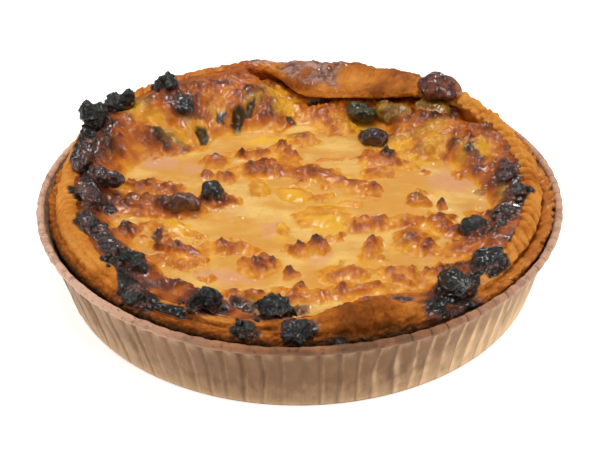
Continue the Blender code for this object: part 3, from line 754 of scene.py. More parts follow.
def pastry_finish(settings):
    finish = Finish("baked_pastry", Specular_IOR_Level=0.16, Subsurface_Weight=0.15,
                    Subsurface_Radius=(1.0, 0.45, 0.2), Subsurface_Scale=0.002, IOR=1.45,
                    Coat_Roughness=0.15)
    baked, scorch, shine, custard, char = finish.attributes(
        "browning", "scorch", "shine", "custard", "char")
    grain = finish.noise(0.5, 4.0, 0.7)
    mottle = finish.noise(2.6, 4.0, 0.6)
    heat = (baked + grain.swing(0.3) + mottle.swing(0.4)).clipped()
    stops = (
        (0.0, PASTRY_PALE),
        (0.33, tuple(settings.colour)),
        (0.62, PASTRY_BROWN),
        (0.85, linear(94, 54, 14)),
        (1.0, linear(46, 30, 12)),
    )
    body = finish.ramp(heat, stops)
    egg_stops = ((0.0, PALE_GOLD), (0.22, GOLD), (0.42, ORANGE), (0.64, RED_BROWN), (0.9, DARK_BROWN))
    body = finish.mix(custard, body, finish.ramp(heat, egg_stops))
    # glaze on the crest: purple-brown, its pale pink end a painted highlight
    glaze = finish.mix(mottle.between(0.35, 0.65), linear(98, 54, 42), linear(198, 152, 130))
    burnt = (scorch + grain.swing(0.5) + mottle.swing(0.7)).between(0.4, 0.75)
    body = finish.mix(burnt, body, glaze)
    singed = (char + mottle.swing(0.8)).between(0.15, 0.65)
    plum = finish.mix(mottle.between(0.4, 0.6), linear(96, 42, 22), PLUM_GLAZE)
    body = finish.mix(singed * 0.8, body, plum)
    black = finish.mix(grain.between(0.45, 0.7), CHAR, ASH)
    charred = (char + grain.swing(0.5) + mottle.swing(0.8)).between(0.5, 0.85)
    body = finish.mix(charred, body, black)
    height = grain * 0.45 + finish.noise(0.9, 5.0, 0.75) * 0.55
    rough = (0.66 - shine * 0.36 + grain.swing(0.2)).clipped()
    finish.feed(Base_Color=body, Roughness=rough, Coat_Weight=shine * 0.6,
                Normal=finish.bump(height, 0.32))
    return finish.material


def filling_finish(settings):
    finish = Finish("baked_custard", Specular_IOR_Level=0.4, Subsurface_Weight=0.3,
                    Subsurface_Radius=(1.0, 0.5, 0.2), Subsurface_Scale=0.002, IOR=1.45,
                    Coat_Roughness=0.06)
    baked, pool, pink, yolk, olive, scorch = finish.attributes(
        "browning", "pool", "pink", "yolk", "olive", "scorch")
    grain = finish.noise(0.6, 4.0, 0.65)
    mottle = finish.noise(2.2, 4.0, 0.6)
    drift = finish.noise(6.0, 4.0, 0.55)
    flow = finish.noise(9.0, 5.0, 0.6, finish.stretched((0.5, 1.0, 1.0)))
    heat = (baked + grain.swing(0.15) + mottle.swing(0.35) + drift.swing(0.3)).clipped()
    stops = (
        (0.0, PALE_GOLD),
        (0.2, tuple(settings.colour)),
        (0.44, ORANGE),
        (0.72, RED_BROWN),
        (1.0, DARK_BROWN),
    )
    body = finish.ramp(heat, stops)
    # painted reflection: pinkish patches on the pools, with some drift
    reflection_blush = (pink * 0.9 + drift.swing(0.5)).clipped()
    cream = finish.mix(flow.between(0.42, 0.68) * 0.85, tuple(settings.pool_colour), PALE_CREAM)
    cream = finish.mix(reflection_blush, cream, REFLECTION_PINK)
    cream = finish.mix(mottle.between(0.5, 0.75) * 0.4, cream, GOLD)
    still = (pool + mottle.swing(0.35)).between(0.2, 0.85)
    body = finish.mix(still, body, cream)
    body = finish.mix((yolk + mottle.swing(0.5)).clipped() * 0.75, body, YOLK)
    # painted shade: near-black olive in the dents, with less coat there
    hollow_shade = (olive + mottle.swing(0.4)).between(0.3, 0.9)
    body = finish.mix(hollow_shade * 0.92, body, SHADE_OLIVE)
    burnt = (scorch + grain.swing(0.5) + mottle.swing(0.9)).between(0.6, 0.95)
    singed = (scorch + mottle.swing(0.8)).between(0.15, 0.7)
    glaze = finish.mix(drift.between(0.42, 0.58), linear(104, 42, 22), PLUM_GLAZE)
    body = finish.mix(singed * 0.8, body, glaze)
    char = finish.mix(grain.between(0.45, 0.7), CHAR, ASH)
    body = finish.mix(burnt * 0.92, body, char)
    rough = (0.22 - still * 0.06 + grain.swing(0.2)).clipped()
    coat = ((0.15 + mottle.between(0.45, 0.6) * 0.4 + singed * 0.5) * (1 - hollow_shade)).clipped()
    relief = (grain * 0.15 + mottle * 0.85) * (1 - still * 0.8)
    finish.feed(Base_Color=body, Roughness=rough, Coat_Weight=coat, Normal=finish.bump(relief, 0.5))
    return finish.material


def apple_finish(look):
    """The finish of charred, wet, glazed, plum-brown, smoked or soft apple, or of its skin."""
    dark, light, rough, coat, depth = APPLE_FINISHES[look]
    finish = Finish(f"{look}_apple", Coat_Weight=coat, Coat_Roughness=0.12, IOR=1.45,
                    Specular_IOR_Level=0.3, Subsurface_Weight=depth,
                    Subsurface_Radius=(1.0, 0.7, 0.3), Subsurface_Scale=0.003)
    crag, foot = finish.attributes("crag", "foot")
    grain = finish.noise(0.5, 5.0, 0.7)
    mottle = finish.noise(1.8, 4.0, 0.6)
    share = (mottle.swing(2.2) + crag * 0.4 + grain.swing(0.7) + 0.02).clipped()
    body = finish.mix(share, dark, light)
    base = GOLDEN_FOOT if look in ("soft", "skin", "plum") else SINGED_FOOT
    surrounds = finish.mix(mottle.between(0.4, 0.6), *base)
    blend = (foot + mottle.swing(0.7)).between(0.25, 0.85) * 0.85
    finish.feed(Base_Color=finish.mix(blend, body, surrounds),
                Roughness=(rough + grain.swing(0.4)).clipped(),
                Normal=finish.bump(grain * 0.35 + mottle * 0.65, 0.5))
    return finish.material


# ---------------------------------------------------------------- pieces


def case_profile():
    """Rows (radius, height, kind, share) of the section, from the underside round to the floor."""
    rows = [(radius, 0.0, "base", 0.0) for radius in (0.0, 30.0, 53.0, BASE_RADIUS - 0.7)]
    rows += [(BASE_RADIUS - 0.25, 0.06, "base", 0.5), (BASE_RADIUS - 0.02, 0.26, "base", 1.0)]
    top_radius, top = RIM_RADIUS - 2 * ROLL_RADIUS + 0.35, RIM_HEIGHT - 2 * ROLL_HEIGHT + 0.25
    for share in np.linspace(0.04, 1.0, 17):
        rows.append((BASE_RADIUS + (top_radius - BASE_RADIUS) * share, top * share, "wall", share))
    for turn in np.linspace(-125, 205, 17):
        across, up = math.cos(math.radians(turn)), math.sin(math.radians(turn))
        rows.append((RIM_RADIUS - ROLL_RADIUS * (1 - across), RIM_HEIGHT - ROLL_HEIGHT * (1 - up),
                     "roll", turn))
    for share in np.linspace(1.0, 0.06, 6):
        radius = BASE_RADIUS + (top_radius - BASE_RADIUS) * share - PAPER
        rows.append((radius, max(top * share, PAPER), "inside", share))
    return rows + [(radius, PAPER, "floor", 0.0) for radius in (BASE_RADIUS - 1.2, 30.0, 0.0)]


def case_mesh(settings):
    """The pleated wall, its flat base and its rolled rim, as one closed sheet of paper."""
    rows = case_profile()
    mesh = lathe("case_paper", [row[:2] for row in rows], settings.pleats * PLEAT_STEPS)
    points, row = coordinates(mesh), rows_of(mesh)
    kinds = np.array([kind for _, _, kind, _ in rows])[row]
    share = np.array([share for *_, share in rows])[row]
    wall, roll, inside = kinds == "wall", kinds == "roll", kinds == "inside"
    sheet = (wall | inside) * 1.0
    angle = np.arctan2(points[:, 1], points[:, 0])
    radius, height = np.hypot(points[:, 0], points[:, 1]), points[:, 2]
    cos, sin = np.cos(angle), np.sin(angle)
    around = (cos * 60, sin * 60)

    # each pleat is a flat panel that ends in a sharp step, slanted and crumpled on the left
    twist = 1.1 * smooth_step(-0.2, -0.9, cos) * smooth_step(0.6, 0.0, sin)
    twist -= 0.5 * smooth_step(0.3, 0.9, cos)
    wander = 0.4 * noise_at(*around, height * 0.4, 8.0, 1) * smooth_step(18, 8, height)
    fold = angle / math.tau * settings.pleats
    fold += twist * (height / RIM_HEIGHT - 1) * (1 - roll) + wander * sheet
    number, within = np.floor(fold), fold - np.floor(fold)
    draw = np.random.default_rng(4).random((3, settings.pleats))
    which = (number % settings.pleats).astype(int)
    step = 0.16 + 0.10 * draw[1][which]
    slope = np.where(within < 1 - step, within / (1 - step), (1 - within) / step)
    depth = settings.pleat_depth / MM * (0.25 + 1.6 * draw[0][which] ** 1.5)
    faint = 1 - 0.75 * (number % 2) * smooth_step(-0.1, -0.5, cos)
    depth = depth * (0.3 + 0.7 * smooth_step(0.0, 0.5, share)) * faint
    crinkle = noise_at(*around, height * 0.6, 2.4, 2, 3)
    broad = noise_at(*around, height, 9.0, 3, 2)
    scallop = bell(share, 0.93, 0.05) * np.sin(math.pi * np.clip(within / (1 - step), 0, 1))
    out = sheet * (depth * (slope - 0.6) + 0.12 * crinkle + 0.18 * broad * smooth_step(0.1, 0.4, share))
    out += wall * 0.28 * scallop

    # the roll is notched at each pleat and sways up and down a little
    notched = 0.12 + 0.88 * smooth_step(0.0, 0.45, cos) + 0.5 * smooth_step(-0.6, -0.9, cos)
    notch = bell(within - 0.5 + 0.3 * (draw[0][which] - 0.5), 0.0, 0.035) * notched
    notch *= 0.15 + draw[2][which]
    dimple = noise_at(*around, height, 2.6, 4, 3)
    dent = roll * (-0.2 * notch + 0.12 * dimple + 0.03 * np.cos(math.tau * within))
    sway = 0.16 * noise_at(*around, 0 * height, 16.0, 5) * (roll + sheet * share**3)
    turn = np.radians(np.where(roll, share, 0.0))
    hub = radius < 1e-3
    radius = np.where(hub, 0.0, radius + out + dent * np.cos(turn))
    height = np.maximum(height + dent * np.sin(turn) + sway, 0.0)
    set_coordinates(mesh, np.column_stack((radius * cos, radius * sin, height)))

    # painted shade darkens the creases, the roll's notches, the top of the wall under the roll and the
    # roll's inner side; painted highlights pale the ridges, the scalloped tops and the roll's lower edge;
    # painted glow pales the foot of the wall, and painted light the sides
    groove = plateau(1 - step * 1.3, 1 - step * 0.5, 1 - step * 0.5, 1.0, within)
    deep = 0.25 + 0.75 * draw[2][(which + 5) % settings.pleats] ** 2
    # painted shade in the pleats' creases and crinkles, in the roll's notches, under the roll and on its
    # inner side
    crease = wall * (0.55 * groove * deep * faint + 0.25 * np.clip(-crinkle - 0.2, 0, 1))
    crease += roll * notch * 0.9
    crease += wall * 0.45 * bell(share, 1.0, 0.035) + roll * 0.25 * (share > 165)
    right = smooth_step(-0.1, 0.7, cos)
    # painted highlight: pale streaks along the ridges, wider low down on the right, on the scalloped tops
    # and along the roll's lower edge
    highlight_streak = bell(within, 0.10, 0.06 + 0.30 * (1 - share) * right) * (0.25 + 0.75 * right)
    ridge = wall * (highlight_streak * (0.6 + 0.6 * crinkle) + 0.5 * scallop)
    ridge += roll * 0.7 * bell(share, -75, 22)
    # painted glow: the wall paler towards its foot, most on the right, with a pale line along the bottom
    # edge
    low = 1 - smooth_step(0.0, 0.55 + 0.25 * crinkle + 0.2 * right, share)
    low = wall * (low * (0.5 + 0.5 * right) + bell(share, 0.0, 0.07))
    # painted light: the wall and the roll paler on the left and right sides
    side = np.where(cos > 0, smooth_step(0.35, 0.95, cos), smooth_step(0.1, 0.85, -cos))
    side *= np.where(cos > 0, np.where(roll, 0.75, 0.85), np.where(roll, 1.0, 0.5))
    paint(mesh, crease=crease, ridge=ridge, roll=roll, low=low, side=side)
    return mesh


def crust_outline():
    """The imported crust's crest height and inner radius at each few degrees round the tart."""
    points = coordinates(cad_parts["pastry_crust"].data) / MM
    angle = np.degrees(np.arctan2(points[:, 1], points[:, 0]))
    radius = np.hypot(points[:, 0], points[:, 1])
    degrees = np.arange(-180, 180, 2.5)
    crest, inner = [], []
    for degree in degrees:
        near = np.abs((angle - degree + 180) % 360 - 180) < 1.7
        top = np.percentile(points[near, 2], 99)
        lip = near & (points[:, 2] > top - 3.0)
        crest.append(top)
        inner.append(radius[lip].min())
    return [
        np.column_stack((degrees, (np.roll(values, 1) + 2 * np.array(values) + np.roll(values, -1)) / 4))
        for values in (crest, inner)
    ]


# Round the tart, as (degrees, amount): the outer ledge, the ribs, crumbly crags, how far the fold
# hangs down in millimetres, and the glaze on the crest, purple-brown with pale pink parts that are a
# painted highlight
LEDGE = (
    (-180, 1.0), (-172, 0.8), (-162, 0.2), (-152, 0.0), (-62, 0.0), (-48, 0.5),
    (-35, 1.0), (40, 1.0), (60, 0.5), (120, 0.5), (150, 1.0),
)
RIBS = (
    (-180, 1.0), (-170, 0.8), (-160, 0.3), (-148, 0.05), (-110, 0.0), (-60, 0.0), (-40, 0.6),
    (-25, 1.0), (20, 1.0), (34, 0.5), (46, 0.0), (146, 0.0), (162, 0.9),
)
CRAGS = (
    (-180, 0.1), (-150, 0.08), (-110, 0.15), (-85, 0.15), (-60, 0.4), (-40, 0.3), (-25, 0.1), (12, 0.2),
    (26, 1.0), (40, 0.6), (56, 0.25), (90, 0.2), (105, 0.4), (140, 0.45), (160, 0.3),
)
HANG = (
    (-180, 0.0), (44, 0.0), (56, 0.2), (70, 0.4), (82, 0.5), (90, 0.5), (96, 0.0),
)
GLAZE = (
    (-180, 0.0), (-125, 0.0), (-112, 0.3), (-95, 0.2), (-84, 0.0), (-68, 0.0), (-63, 0.9), (-52, 0.9),
    (-44, 0.4), (-34, 0.2), (-20, 0.0), (35, 0.0), (50, 0.3), (62, 0.3), (74, 0.4), (79, 1.0), (92, 1.0),
    (97, 0.8), (106, 0.6), (118, 0.1), (128, 0.4), (150, 0.4), (160, 0.3), (170, 0.1),
)


def pastry_mesh(settings):
    """The pastry shell with its ledge, its ribbed rope of an edge and its fold at the back."""
    crest_keys, inner_keys = crust_outline()
    base, floor = CRUST_LOW[2], CRUST_LOW[2] + CRUST_FLOOR
    rows = EDGE_ROWS
    profile = [(50 * math.sin(math.pi * r / (rows - 1)) + 1e-3, 20 * r / rows) for r in range(rows)]
    profile[0], profile[-1] = (0.0, 0.0), (0.0, 20.0)
    mesh = lathe("pastry_edge", profile, EDGE_STEPS)
    points, row = coordinates(mesh), rows_of(mesh)
    angle = np.arctan2(points[:, 1], points[:, 0])
    cos, sin, degrees = np.cos(angle), np.sin(angle), np.degrees(angle)
    zero = np.zeros_like(angle)
    crest = round_the_tart(crest_keys, angle)
    inner = round_the_tart(inner_keys, angle)
    fold = np.clip(CRUST_HIGH[0] - 5.7 - inner, 0.0, None)
    hang = round_the_tart(HANG, angle) * (1 + 0.5 * noise_at(cos * 50, sin * 50, zero, 6.0, 18))
    ledge = round_the_tart(LEDGE, angle)
    touch = ledge * smooth_step(0.1, 0.7, cos)
    body = 52.6 + 0.7 * (1 - ledge)
    # radius and height of each key of the section, and how many rows lead up to it
    keys = (
        (zero, base + zero, 0),
        (52.5 + zero, base + zero, 2),
        (54.0 + zero, base + 0.9, 2),
        (54.9 + zero, 7.0 + zero, 3),
        (56.0 + zero, 13.0 + zero, 4),
        (57.0 + 0.2 * touch, 16.2 + zero, 4),
        (57.2 + 0.6 * touch, 17.1 + 0.2 * ledge + 0.4 * touch, 4),
        (56.8 + 0.7 * touch, 17.8 + 0.4 * ledge + 0.5 * touch, 4),
        (56.3 - 0.9 * ledge + 0.4 * touch, 18.3 - 0.1 * ledge + 0.2 * touch, 5),
        (55.8 - 0.9 * ledge, 18.5 - 0.5 * ledge, 5),
        (55.2 - 0.2 * ledge - 0.05 * fold, 0.5 * crest + 0.5 * 18.5, 6),
        (54.3 - 0.15 * fold, crest - 0.6, 6),
        (body - 0.35 * fold + 0.3, crest + 0.15, 7),
        (inner + 0.8 + 0.1 * fold, crest - 0.3 - 0.09 * fold, 7),
        (inner - 0.1 - 0.6 * hang, crest - 1.3 - 0.12 * fold - 0.5 * hang, 6),
        (inner + 0.05 - hang, crest - 2.4 - 0.1 * fold - hang, 5),
        (inner + 0.5 * fold + 0.4, crest - 3.5 - hang, 4),
        (51.4 + zero, 10.0 + zero, 4),
        (50.6 + zero, floor + zero, 4),
        (zero, floor + zero, 5),
    )
    ends = np.cumsum([lead for *_, lead in keys])
    part = np.interp(np.arange(rows), ends * (rows - 1) / ends[-1], np.arange(len(keys)))
    shares = spline_shares(part, len(keys))
    radius = np.clip(sum(shares[row, k] * key[0] for k, key in enumerate(keys)), 0.0, None)
    height = sum(shares[row, k] * key[1] for k, key in enumerate(keys))
    part = part[row]
    height = np.where(part < 1.0, base, np.where(part > len(keys) - 2, floor, height))
    on_edge = plateau(4.5, 6.0, 15.2, 16.2, part)
    on_rope = plateau(8.9, 10.2, 13.8, 15.2, part)
    on_ledge = plateau(4.6, 5.4, 7.8, 8.8, part) * ledge
    outward = np.interp(part, (0, 10.0, 11.2, 12.4, 13.6, 15.0), (1, 1, 0.85, 0.1, -0.7, -1))
    upward = np.interp(part, (4, 6.6, 8.6, 10.2, 12.2, 14.0, 15.5), (0, 0.8, 0.9, 0.4, 1.0, 0.5, -0.5))

    # slanting ribs on both sides, crags and crumbs, and swellings at the fold and the front
    on_right = cos > 0
    count = settings.ribs * np.where(on_right, 1.45, 1.8)
    ribs = count * angle / math.tau - np.where(on_right, 0.34, -0.34) * (part - 12)
    ribs += 0.25 * noise_at(cos * 52, sin * 52, zero, 9.0, 11)
    rib = np.abs(np.sin(math.pi * ribs)) ** 0.6
    rib_share = round_the_tart(RIBS, angle) * (0.75 + 0.5 * noise_at(cos * 52, sin * 52, zero, 7.0, 19))
    amount = round_the_tart(CRAGS, angle)
    x, y = radius * cos, radius * sin
    coarse = noise_at(x, y, height, 5.0, 12, 3)
    fine = noise_at(x, y, height, 1.4, 13, 4)
    lumps = domes_at(x + 0.4 * fine, y, height, 2.8, 14)
    sand = domes_at(x, y, height, 1.1, 15)
    broad = noise_at(x, y, height, 9.0, 16, 2)
    out = on_rope * rib_share * settings.rib_depth / MM * (rib - 0.7) * np.where(on_right, 0.75, 0.8)
    out += on_edge * (0.35 * coarse + 0.11 * fine * (1 - 0.6 * rib_share))
    out += on_edge * amount * (lumps - 0.5 + 0.5 * fine)
    out += on_rope * smooth_step(1.0, 5.0, fold) * 0.9 * broad
    to_dark = from_pieces(np.column_stack((x, y, height)), DARK_NODES, 3.5)
    ridge, ridge_scorch = scorched_ridges(x, y)
    ridge_scorch *= smooth_step(9.0, 10.6, part) * (part < 15)
    out += 0.5 * np.maximum(ridge, bell(to_dark, 0.0, 0.9)) * on_rope
    out += on_edge * (1 - 0.8 * np.clip(rib_share, 0, 1)) * 0.14 * (sand - 0.5)
    out += on_ledge * (0.4 * fine + 0.5 * (lumps - 0.5) * smooth_step(-0.2, 0.4, cos))
    front_bump = bell(degrees, -77.5, 9.5, 4)
    out += on_rope * front_bump * (0.5 + 0.4 * noise_at(cos * 55, sin * 55, zero, 3.0, 17))
    hub = (row == 0) | (row == rows - 1)
    radius = np.where(hub, 0.0, radius + out * outward)
    inside_case = (0, 1, 16.5, 17.2, 17.8, 18.6, 19.5), (54.3, 54.4, 57.4, 57.8, 58.0, 58.2, 59.3)
    radius = np.minimum(radius, np.interp(height, *inside_case))
    height = height + out * upward * (1 - hub)
    set_coordinates(mesh, np.column_stack((radius * cos, radius * sin, height)))

    # painted shade in the grooves between the ribs and behind the ledge; darker low down near the rim, most
    # at the front and on the front bump, partly browning and partly painted shade; glazed or charred in
    # places
    front = smooth_step(0.1, -0.6, sin) * smooth_step(0.75, 0.4, cos)
    # painted shade low on the outer wall, in the gap towards the paper rim, most at the front
    shaded_low = 1 - smooth_step(17.0, 19.6 + 1.6 * front_bump + 0.5 * coarse, height)
    browning = 0.26 + 0.14 * coarse + 0.05 * front + (0.16 + 0.52 * front) * shaded_low * (part < 12)
    browning += 0.10 * on_ledge - 0.10 * sand * on_edge
    browning += 0.35 * smooth_step(15.2, 16.6, part) + 0.10 * smooth_step(0.6, 0.95, sin)
    # painted shade in the groove between the ledge and the rope
    browning += 0.35 * smooth_step(9.4, 8.8, part) * smooth_step(7.8, 8.4, part) * ledge
    # on the rope: painted shade in the grooves between the ribs and lighter rib tops as painted highlight;
    # the front bump darker, partly browning and partly painted shade
    browning += on_rope * (0.16 * smooth_step(1.0, 5.0, fold) + 0.24 * broad + 0.32 * front_bump
                           + 0.46 * rib_share * (0.6 - rib) - 0.35 * bell(degrees, 27, 9.0))
    # glaze on the crest, pale pink in places as a painted highlight
    glaze = round_the_tart(GLAZE, angle) * plateau(9.6, 10.8, 12.6, 13.8, part)
    scorch = glaze * (0.75 + 0.7 * coarse)
    burnt_gap = bell(degrees, -58, 6.5, 4) * smooth_step(5.0, 6.0, part) * (part < 14)
    near_dark = 0.9 * (1 - smooth_step(0.2, 2.0, to_dark + 0.6 * coarse))
    near_dark *= smooth_step(6.5, 8.0, part) * (part < 15)
    char = np.maximum.reduce([ridge_scorch, burnt_gap * (0.9 + 0.5 * coarse), near_dark])
    custard = plateau(95, 102, 158, 170, degrees) * smooth_step(8.6, 9.6, part)
    browning += 0.08 * custard
    shine = np.maximum.reduce([glaze, char, 0.7 * on_ledge * smooth_step(0.0, 0.5, cos), 0.8 * custard])
    paint(mesh, browning=browning, scorch=scorch, shine=shine, char=char, custard=custard)
    return mesh


def disc_mesh(name, cells, radius, depth, floor_radius):
    """A round plug with an even grid for its top, and the grid's vertex numbers as a square."""
    bm = bmesh.new()
    bmesh.ops.create_grid(bm, x_segments=cells, y_segments=cells, size=1.0)
    bm.verts.ensure_lookup_table()
    grid = np.array([vertex.co[:2] for vertex in bm.verts])
    column = np.round((grid + 1) / 2 * cells).astype(int)
    order = np.empty((cells + 1, cells + 1), int)
    order[column[:, 1], column[:, 0]] = np.arange(len(grid))
    x, y = grid[:, 0], grid[:, 1]
    wide = np.abs(x) > np.abs(y)
    safe_x, safe_y = np.where(x == 0, 1, x), np.where(y == 0, 1, y)
    turn = np.where(wide, y / safe_x * math.pi / 4, math.pi / 2 - x / safe_y * math.pi / 4)
    reach = radius * np.where(wide, x, y)
    for vertex, across, up in zip(bm.verts, reach * np.cos(turn), reach * np.sin(turn)):
        vertex.co = (across, up, 0.0)
    rim = [edge for edge in bm.edges if edge.is_boundary]
    skirt = bmesh.ops.extrude_edge_only(bm, edges=rim)["geom"]
    base = [item for item in skirt if isinstance(item, bmesh.types.BMVert)]
    for vertex in base:
        vertex.co *= floor_radius / radius
        vertex.co.z = depth
    bmesh.ops.contextual_create(bm, geom=base)
    bmesh.ops.recalc_face_normals(bm, faces=bm.faces)
    return mesh_of(name, bm), order


def seats_filled(height, x, y):
    """The filling's height with the seats of the apple pieces levelled out."""
    unknown = np.zeros(height.shape, bool)
    for node in APPLE_LOOKS:
        low, high = node_box(node)
        middle, half = (low + high) / 2, (high - low) / 2 + 0.7
        unknown |= np.hypot((x - middle[0]) / half[0], (y - middle[1]) / half[1]) < 1.0
    filled = height.copy()
    filled[unknown] = POOL_LEVEL + 2
    for _ in range(SEAT_ROUNDS):
        near = sum(np.roll(filled, way, axis) for axis in (0, 1) for way in (1, -1)) / 4
        filled[unknown] = near[unknown]
    return filled


def filling_mesh(settings):
    """The filling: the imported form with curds, crags, browned tips and still pools."""
    mesh, order = disc_mesh("custard_filling", FILLING_CELLS, FILLING_RADIUS, FILLING_LOW[2],
                            FILLING_HIGH[0] - 0.6)
    points = coordinates(mesh)
    x, y = points[order, 0], points[order, 1]
    radius = np.hypot(x, y)
    tree = bvh_of("filling")
    inward = np.minimum(1.0, (FILLING_HIGH[0] - 0.35) / np.maximum(radius, 1e-6))
    places = zip((x * inward).ravel(), (y * inward).ravel())
    packed = np.array([ground_at(tree, across, up) for across, up in places]).reshape(x.shape)
    packed = blurred(seats_filled(packed, x, y), 3)
    fine_x, fine_y = (0.45 * noise_at(x, y, 0, 1.1, seed, 2) for seed in (21, 22))
    warp_x, warp_y = (1.3 * noise_at(x, y, 0, 3.6, seed, 2) for seed in (23, 24))
    warp_x, warp_y = x + warp_x + fine_x, y + warp_y + fine_y

    # mounds rise out of a level sea of custard, and the ground climbs towards the edge
    level = POOL_LEVEL + 0.12 * noise_at(x, y, 0, 8.0, 25)
    climb = smooth_step(17.5, 18.9, blurred(packed, 12))
    mound, crag = np.zeros_like(x), np.zeros_like(x)
    for middle_x, middle_y, length, width, turn, rise, rough in MOUNDS:
        middle = seen_at(middle_x, middle_y, POOL_LEVEL + 0.6 * rise)
        apart = patch_at(warp_x, warp_y, (*middle[:2], 1.1 * length, 1.1 * width, turn))
        form = (0.84 * rise + 1.1) * bell(apart, 0.0, 1.0, 2.8)
        mound = (mound**5 + form**5) ** 0.2
        crag = np.maximum(crag, rough * bell(apart, 0.0, 1.0))
    crag = np.maximum(crag, 0.45 * climb)
    ground = level - 1.1 + climb * (packed - level + 1.1)
    form = ground + mound * (1 - 0.65 * climb)
    lumps = domes_at(warp_x, warp_y, form, 4.2, 26) * 1.1 + domes_at(warp_x, warp_y, form, 2.0, 27) * 0.5
    crests = crests_at(x, y, form, 3.2, 28)
    above = smooth_step(-0.6, 0.8, form - level)
    form += above * (0.25 + crag) * settings.lump_depth / MM * (lumps - 0.7)
    form += above * crag * (0.55 * (crests - 0.35) + 0.16 * noise_at(x, y, form, 1.0, 31, 2))
    height = 0.5 * (form + level + np.hypot(form - level, 0.3))
    pool = smooth_step(-0.15, 0.75, level - form)

    def on_surface(across, up):
        """Where a point that shows at (across, up) on the sight level lies on the filling."""
        z = SIGHT_LEVEL
        for _ in range(6):
            place = seen_at(across, up, z)
            z = 0.4 * z + 0.6 * height.flat[np.argmin((x - place[0]) ** 2 + (y - place[1]) ** 2)]
        return place

    def patches(rows, inner, outer, ragged=1.0):
        """The strongest of several soft patches at each point."""
        field = np.zeros_like(x)
        for across, up, length, width, turn, strength in rows:
            place = on_surface(across, up)[:2]
            apart = patch_at(x + ragged * (warp_x - x), y + ragged * (warp_y - y),
                             (*place, length, width, turn))
            field = np.maximum(field, strength * (1 - smooth_step(inner, outer, apart)))
        return field

    # painted reflection: pinkish patches on the pools
    pink = patches(PINK_REFLECTIONS, 0.4, 1.3)
    yolk = patches(YOLKS, 0.4, 1.4)
    caramel = patches(CARAMELS, 0.4, 1.3)
    dent = patches(HOLLOWS, 0.1, 1.3, 0.6)
    scorch = patches(SCORCHES, 0.45, 1.35)
    ridge, ridge_scorch = scorched_ridges(x, y)
    ridge *= 1 - smooth_step(48, 50, radius)
    scorch = np.maximum(scorch, ridge_scorch)
    top = np.column_stack((x.ravel(), y.ravel(), height.ravel()))
    to_dark, to_pale = (from_pieces(top, nodes, 4.0).reshape(x.shape) for nodes in (DARK_NODES, PALE_NODES))
    to_piece = np.minimum(to_dark, to_pale)
    ragged_gap = to_dark + 0.8 * noise_at(x, y, 0, 2.4, 36, 3)
    scorch = np.maximum(scorch, 0.8 * (1 - smooth_step(0.1, 2.2, ragged_gap)))
    # painted shade in the dents
    olive = np.clip(dent / 1.4, 0, 1)
    height = height - dent + np.maximum(ridge, 0.9 * bell(to_piece, 0.0, 0.9))
    height += scorch * 0.9 * (crests_at(x, y, height, 1.8, 33) - 0.35)

    # browned tips: the listed ones, two small ones beside each, and some at random on the crags
    rng = np.random.default_rng(11)
    listed = [
        (*on_surface(across, up - 0.5 * rise)[:2], wide, rise, dark)
        for across, up, wide, rise, dark in TIPS
    ]
    listed += [
        (across + rng.normal(0, 0.8 * wide), up + rng.normal(0, 0.8 * wide),
         wide * rng.uniform(0.4, 0.8), rise * rng.uniform(0.3, 0.7), dark * rng.uniform(0.5, 1.0))
        for across, up, wide, rise, dark in listed for _ in range(2)
    ]
    chance = (np.clip(crag, 0, 1) * smooth_step(0.2, 1.0, height - level)).ravel()
    for spot in rng.choice(x.size, RANDOM_TIPS, p=chance / chance.sum()):
        listed.append((x.flat[spot], y.flat[spot],
                       *(rng.uniform(*span) for span in ((0.5, 1.0), (0.3, 0.8), (0.2, 0.7)))))
    tips, dark, halo = np.zeros_like(x), np.zeros_like(x), np.zeros_like(x)
    for middle_x, middle_y, wide, rise, darkness in listed:
        apart = np.hypot(x + 1.6 * fine_x - middle_x, y + 1.6 * fine_y - middle_y) / wide
        peak = 0.5 * bell(apart, 0.0, 1.0) + 0.5 * np.clip(1 - apart / 1.15, 0, 1) ** 1.3
        tips = np.maximum(tips, 0.7 * rise * peak)
        dark = np.maximum(dark, darkness**1.5 * bell(apart, 0.0, 0.5))
        halo = np.maximum(halo, darkness * bell(apart, 0.0, 1.35))
    height = height + tips
    crest = round_the_tart(crust_outline()[0], np.arctan2(y, x)) - 0.3
    height -= smooth_step(46.5, 49.5, radius) * np.clip(height - crest, 0, None)
    pool = pool * (1 - smooth_step(0.2, 0.7, tips))

    # baked darkest on the tips, the crests and the shores, at the edge and next to the pieces
    relief = height - blurred(height, 6)
    rise = np.clip(height - level, 0, 3)
    left = smooth_step(-18, -34, x) * smooth_step(8, -6, y)
    shore = bell(form - level, 0.1, 0.22) * (1 - climb)
    flush = smooth_step(0.0, 0.6, noise_at(x, y, 0, 5.0, 30, 2)) * smooth_step(0.3, 1.2, rise)
    browning = 0.05 + 0.09 * rise * (1 - climb) + 0.25 * climb + 0.16 * relief + 0.12 * halo
    browning += 0.34 * dark + 0.2 * flush + 0.2 * shore + 0.12 * smooth_step(42, 50, radius)
    browning += 0.14 * np.clip(crag, 0, 1) * smooth_step(0.1, 1.2, rise)
    browning += 0.12 * left * (1 - pool) + 0.3 * caramel
    browning += 0.16 * noise_at(x, y, 0, 3.4, 34, 3) + 0.09 * smooth_step(18, 34, x)
    browning += 0.28 * bell(to_piece, 0.0, 2.6)
    points[order.ravel(), 2] = height.ravel()
    set_coordinates(mesh, points)
    fields = dict(browning=browning, pool=pool, pink=pink, yolk=yolk, olive=olive, scorch=scorch)
    for name, field in fields.items():
        values = np.zeros(len(points))
        values[order.ravel()] = field.ravel()
        paint(mesh, **{name: values})
    return mesh


